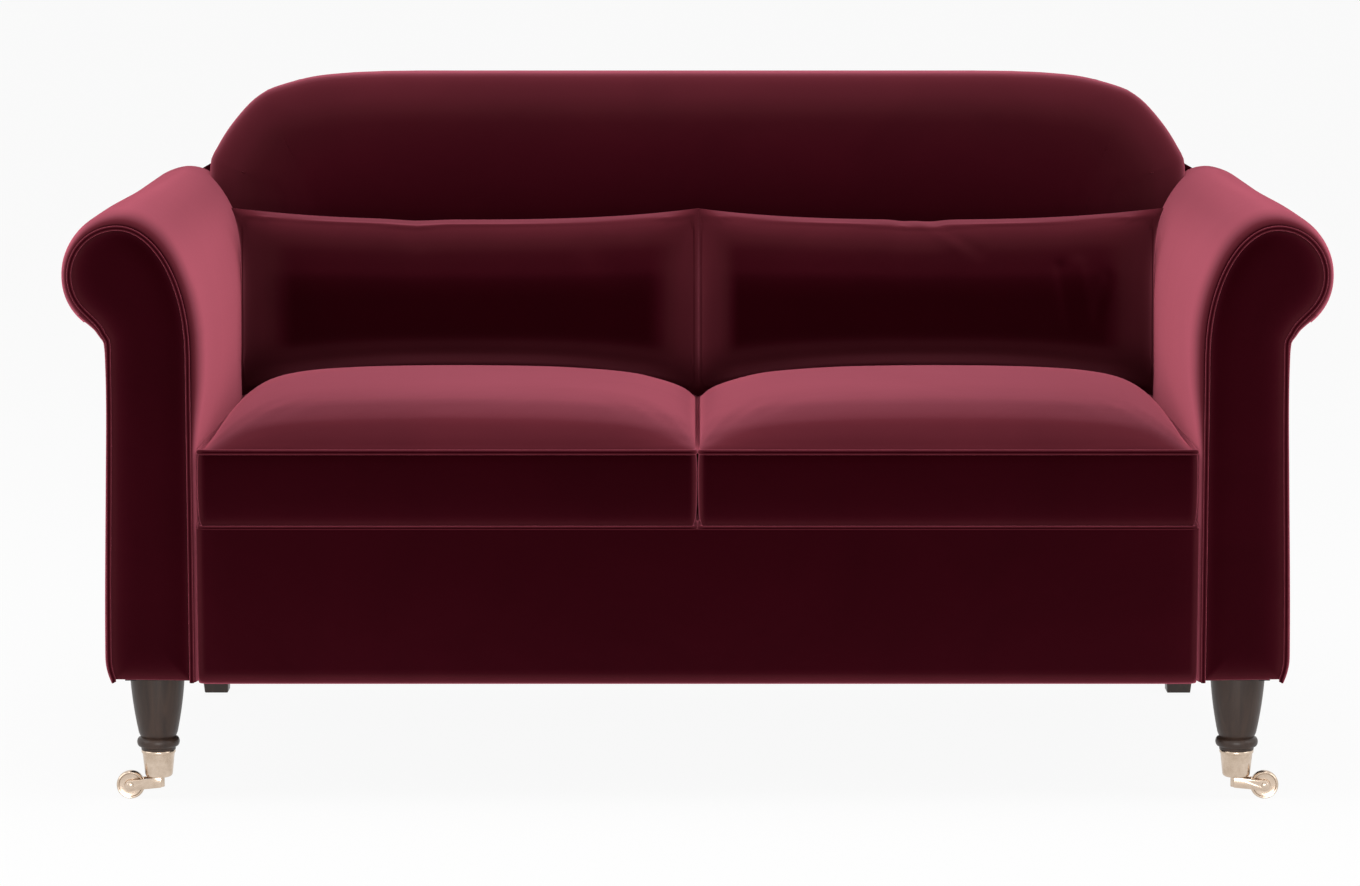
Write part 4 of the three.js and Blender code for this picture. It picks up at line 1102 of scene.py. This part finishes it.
def lumbar_cushion(side):
    """A knife-edged lumbar cushion, leaning on the back, its seam sagging between corners."""
    low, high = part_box(f"lumbar_cushion_{side}")
    outer, inner = (low.x, high.x) if side == "left" else (high.x, low.x)
    inner -= math.copysign(PILLOW_NARROWER, inner)
    outer += math.copysign(PILLOW_WIDER, outer)

    def spread(t):
        """From -1 to 1, closer together towards both ends."""
        return math.sin((t - 0.5) * math.pi)

    def seam(a, b):
        """The flat place of a point, b running up and a from the arm to the middle."""
        end = abs(a)
        top = PILLOW_TOP - PILLOW_SAG * (1 - end ** 2.4) - PILLOW_EAR_DIP * (1 - end ** 6)
        foot = PILLOW_FOOT - PILLOW_FOOT_END + PILLOW_FOOT_RISE * (1 - end ** 2.6)
        width = outer + (inner - outer) * (a + 1) / 2
        for place, reach, deep in PILLOW_DIPS[side]:
            top -= deep * math.exp(-((width - place) / reach) ** 2)
        waist = PILLOW_WAIST * (1 - abs(b) ** 3) * (1 if a < 0 else 0.2) * -a
        width -= math.copysign(waist, outer) * end ** 8
        if a < 0:
            width += math.copysign(PILLOW_EAR, outer) * end ** 14 * ((b + 1) / 2) ** 11
        return width, foot + (top - foot) * (b + 1) / 2

    def fullness(a, z):
        """How thick it is at a height, the share an end keeps, and the rise from an end."""
        reach, kept = PILLOW_ENDS["arm" if a < 0 else side]
        near = max(1 - (1 - abs(a)) * abs(inner - outer) / 2 / reach, 0)
        top, foot = seam(a, 1)[1], seam(a, -1)[1]
        if z > PILLOW_FULLEST:
            tall = along(PILLOW_UPPER, (top - z) / (top - PILLOW_FULLEST))
        else:
            tall = along(PILLOW_LOWER, (PILLOW_FULLEST - z) / (PILLOW_FULLEST - foot))
        return tall, kept, (1 - near ** 2) ** 0.68

    def sheet(facing):
        def place(u, v):
            a, b = spread(u), spread(v)
            x, z = seam(a, b)
            plane = FACING_FRONT + PILLOW_PLANE + (z - PILLOW_FOOT) * PILLOW_LEAN
            tall, kept, rise = fullness(a, z)
            ahead = kept + (1 - kept) * rise
            behind = -kept + (1 + kept) * rise
            out = PILLOW_HALF * tall * (-ahead if facing < 0 else behind)
            if facing < 0:
                out += sum(fold(Vector((x, z)), *line) for line in PILLOW_FOLDS[side])
            return Vector((x, plane + out, z))

        return grid_sheet(*PILLOW_GRID, place)

    def on_seam(index, at):
        a = (at.x - outer) / (inner - outer) * 2 - 1
        top, foot = seam(a, 1)[1], seam(a, -1)[1]
        return (min(abs(at.x - inner), abs(at.x - outer)) < PILLOW_HELD[0]
                or min(top - at.z, at.z - foot) < PILLOW_HELD[1])

    rear = sheet(1)
    piece = sheet(-1)
    deselect()
    rear.select_set(True)
    piece.select_set(True)
    bpy.context.view_layer.objects.active = piece
    bpy.ops.object.join()
    edit(piece, bpy.ops.mesh.remove_doubles, threshold=0.00002)
    edit(piece, bpy.ops.mesh.normals_make_consistent, inside=False)
    swollen(piece, PILLOW_REACH, on_seam)
    finish_with(piece, "SUBSURF", levels=1, render_levels=1)
    pick(piece)
    bpy.ops.object.shade_smooth()
    dress(piece, f"lumbar_pillow_{side}", f"{side}_lumbar_cushion", "velvet",
          f"lumbar_cushion_{side}")


# Legs and castors


def leg_profile():
    """Radii and heights of the turned front leg, from the cup up to the frame."""
    profile = [(0.012, 0.034), (0.0166, 0.034), (0.0184, 0.0622), (0.0212, 0.0623)]
    ring_low, ring_high = 0.0655, 0.0785
    for i in range(9):
        share = -1 + i / 4
        profile.append((0.0215 + 0.0048 * math.sqrt(max(1 - share ** 2, 0)),
                        (ring_low + ring_high) / 2 + share * (ring_high - ring_low) / 2))
    profile.append((0.0226, 0.0806))
    waist, shoulder = Vector((0.024, 0.084)), Vector((0.0315, 0.1193))
    top = Vector((0.0336, 0.1547))
    for i in range(13):
        t = i / 12
        at = waist * (1 - t) ** 2 + shoulder * 2 * t * (1 - t) + top * t ** 2
        profile.append((at.x, at.y))
    return profile


def cup_profile():
    """The brass cup over the leg's end: rounded foot, slight taper and a thin rim."""
    profile = [(0.0046, CUP_FOOT)]
    for i in range(7):
        turn = i / 6 * math.pi / 2
        profile.append((0.0134 + 0.0038 * math.sin(turn), CUP_FOOT + 0.0045 * (1 - math.cos(turn))))
    return profile + [(0.0199, 0.0572), (0.0201, 0.0578), (0.0209, 0.0582), (0.0212, 0.0592),
                      (0.0212, 0.0606), (0.0207, 0.0617), (0.0196, CUP_TOP), (0.0188, 0.0616)]


def wheel_profile():
    """The dished brass wheel: round tread, raised rim and a boss at the axle."""
    half = WHEEL_WIDTH / 2
    one = [(0.0031, half + 0.0003), (0.0058, half + 0.0003), (0.0064, half - 0.0002),
           (0.0074, half - 0.0016), (0.0126, half - 0.0018), (0.0139, half - 0.0014),
           (0.0146, half - 0.0002), (0.0156, half), (0.0166, half - 0.0007),
           (0.0173, half - 0.0022), (WHEEL_RADIUS, half - 0.0042)]
    return one + [(radius, -depth) for radius, depth in reversed(one)]


def axle_profile(reach):
    """The axle, with a flat head at either end."""
    half = [(0.0012, reach), (0.003, reach - 0.0003), (0.0042, reach - 0.0011),
            (0.0042, reach - 0.0014), (0.0025, reach - 0.0014)]
    return [(radius, -depth) for radius, depth in half] + half[::-1]


def turned(profile, place, names, body, slot, sides=LEG_SIDES, lying=False, material=None):
    """Turns a piece at a place, upright or lying along Y.

    names holds the piece's own name and that of the node it stands for.
    """
    piece = lathe(profile, sides)
    if lying:
        piece.rotation_euler = (math.pi / 2, 0, 0)
    piece.location = place
    smooth(piece, 35)
    dress(piece, names[0], body, slot, names[1], material)


def eased_copy(names, body, slot, width, segments, degrees):
    """Makes a node's form whole and eases its edges. names is as for turned."""
    piece = copy_of(names[1])
    edit(piece, bpy.ops.mesh.dissolve_limited, angle_limit=math.radians(1))
    ease_edges(piece, width, segments, degrees)
    smooth(piece)
    dress(piece, names[0], body, slot, names[1])


def legs_and_castor(side):
    """A side's turned front leg, its castor, and the plain leg at the rear."""
    low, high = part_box(f"castor_cup_{side}")
    axis = Vector(((low.x + high.x) / 2, (low.y + high.y) / 2, 0))
    castor = f"{side}_castor"

    def names(piece, node):
        return f"{piece}_{side}", f"{node}_{side}"

    turned(leg_profile(), axis, names("turned_leg", "front_leg"), "sofa_frame", "dark_wood")
    eased_copy(names("square_leg", "rear_leg"), "sofa_frame", "dark_wood",
               width=0.0018, segments=3, degrees=60)
    turned(cup_profile(), axis, names("brass_cup", "castor_cup"), "sofa_frame", "brass")
    eased_copy(names("horn", "castor_horn"), castor, "brass",
               width=0.0006, segments=2, degrees=40)
    low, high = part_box(f"castor_wheel_{side}")
    turned(wheel_profile(), (low + high) / 2, names("brass_wheel", "castor_wheel"),
           f"{side}_castor_wheel", "brass", lying=True)
    low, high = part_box(f"castor_axle_{side}")
    turned(axle_profile((high.y - low.y) / 2), (low + high) / 2,
           names("axle_pin", "castor_axle"), castor, "steel", AXLE_SIDES, lying=True,
           material=brass)


# Studio


def seen_directly(tree):
    """1 for rays from the camera, and for what polished metal mirrors of the studio."""
    path = add_node(tree, "LightPath")
    seen = add_node(tree, "Math", {"operation": "MAXIMUM"})
    either = add_node(tree, "Math", {"operation": "MAXIMUM"})
    connect(
        tree,
        (path, "Is Camera Ray", seen, 0), (path, "Is Glossy Ray", seen, 1),
        (seen, "Value", either, 0), (path, "Is Transmission Ray", either, 1),
    )
    return either


def pale_floor():
    """A wide floor that keeps the sofa's shadow and is near white to the camera."""
    deselect()
    bpy.ops.mesh.primitive_plane_add(size=60, location=(0, 0, 0))
    floor = bpy.context.object
    floor.name = "floor"
    material = bpy.data.materials.new("Pale floor")
    material.use_nodes = True
    tree = material.node_tree
    shader = tree.nodes["Principled BSDF"]
    shader.inputs["Base Color"].default_value = (0.92, 0.92, 0.92, 1)
    shader.inputs["Roughness"].default_value = 0.9
    shader.inputs["Specular IOR Level"].default_value = 0.1
    glow = add_node(tree, "Emission", Color=(1, 1, 1, 1), Strength=1.0)
    blend = add_node(tree, "MixShader")
    share = add_node(tree, "Math", {"operation": "MULTIPLY"})
    share.inputs[1].default_value = FLOOR_WHITE
    connect(
        tree,
        (seen_directly(tree), "Value", share, 0), (share, "Value", blend, "Fac"),
        (shader, "BSDF", blend, 1), (glow, "Emission", blend, 2),
        (blend, "Shader", tree.nodes["Material Output"], "Surface"),
    )
    floor.data.materials.append(material)


def studio():
    """Soft light from all round, four lamps and the photograph's camera."""
    world = bpy.data.worlds.new("Studio")
    scene.world = world
    world.use_nodes = True
    tree = world.node_tree
    soft = tree.nodes["Background"]
    soft.inputs["Color"].default_value = (1, 1, 1, 1)
    soft.inputs["Strength"].default_value = WORLD_LIGHT
    white = add_node(tree, "Background", Color=(1, 1, 1, 1), Strength=1.0)
    choose = add_node(tree, "MixShader")
    connect(
        tree,
        (seen_directly(tree), "Value", choose, "Fac"), (soft, "Background", choose, 1),
        (white, "Background", choose, 2),
        (choose, "Shader", tree.nodes["World Output"], "Surface"),
    )

    for name, place, size, power in LAMPS:
        data = bpy.data.lights.new(name, "AREA")
        data.size = size
        data.energy = power
        lamp = bpy.data.objects.new(name, data)
        scene.collection.objects.link(lamp)
        lamp.location = place
        lamp.rotation_euler = (LAMP_AIM - Vector(place)).to_track_quat("-Z", "Y").to_euler()

    data = bpy.data.cameras.new("camera")
    data.lens = CAMERA_LENS
    data.sensor_width = CAMERA_SENSOR
    data.shift_x = CAMERA_SHIFT
    data.clip_end = 100
    camera = bpy.data.objects.new("camera", data)
    scene.collection.objects.link(camera)
    camera.location = CAMERA_PLACE
    camera.rotation_euler = (math.pi / 2 - CAMERA_PITCH, 0, 0)
    scene.camera = camera
    scene.view_settings.view_transform = "Standard"


pale_floor()
studio()
for side in SIDES:
    arm_cover(side)
    outside_cover(side)
    facing_panel(side)
    facing_welt(side)
    legs_and_castor(side)
    seat_cushion(side)
    lumbar_cushion(side)
padded_back()
rear_cover()
seat_border()
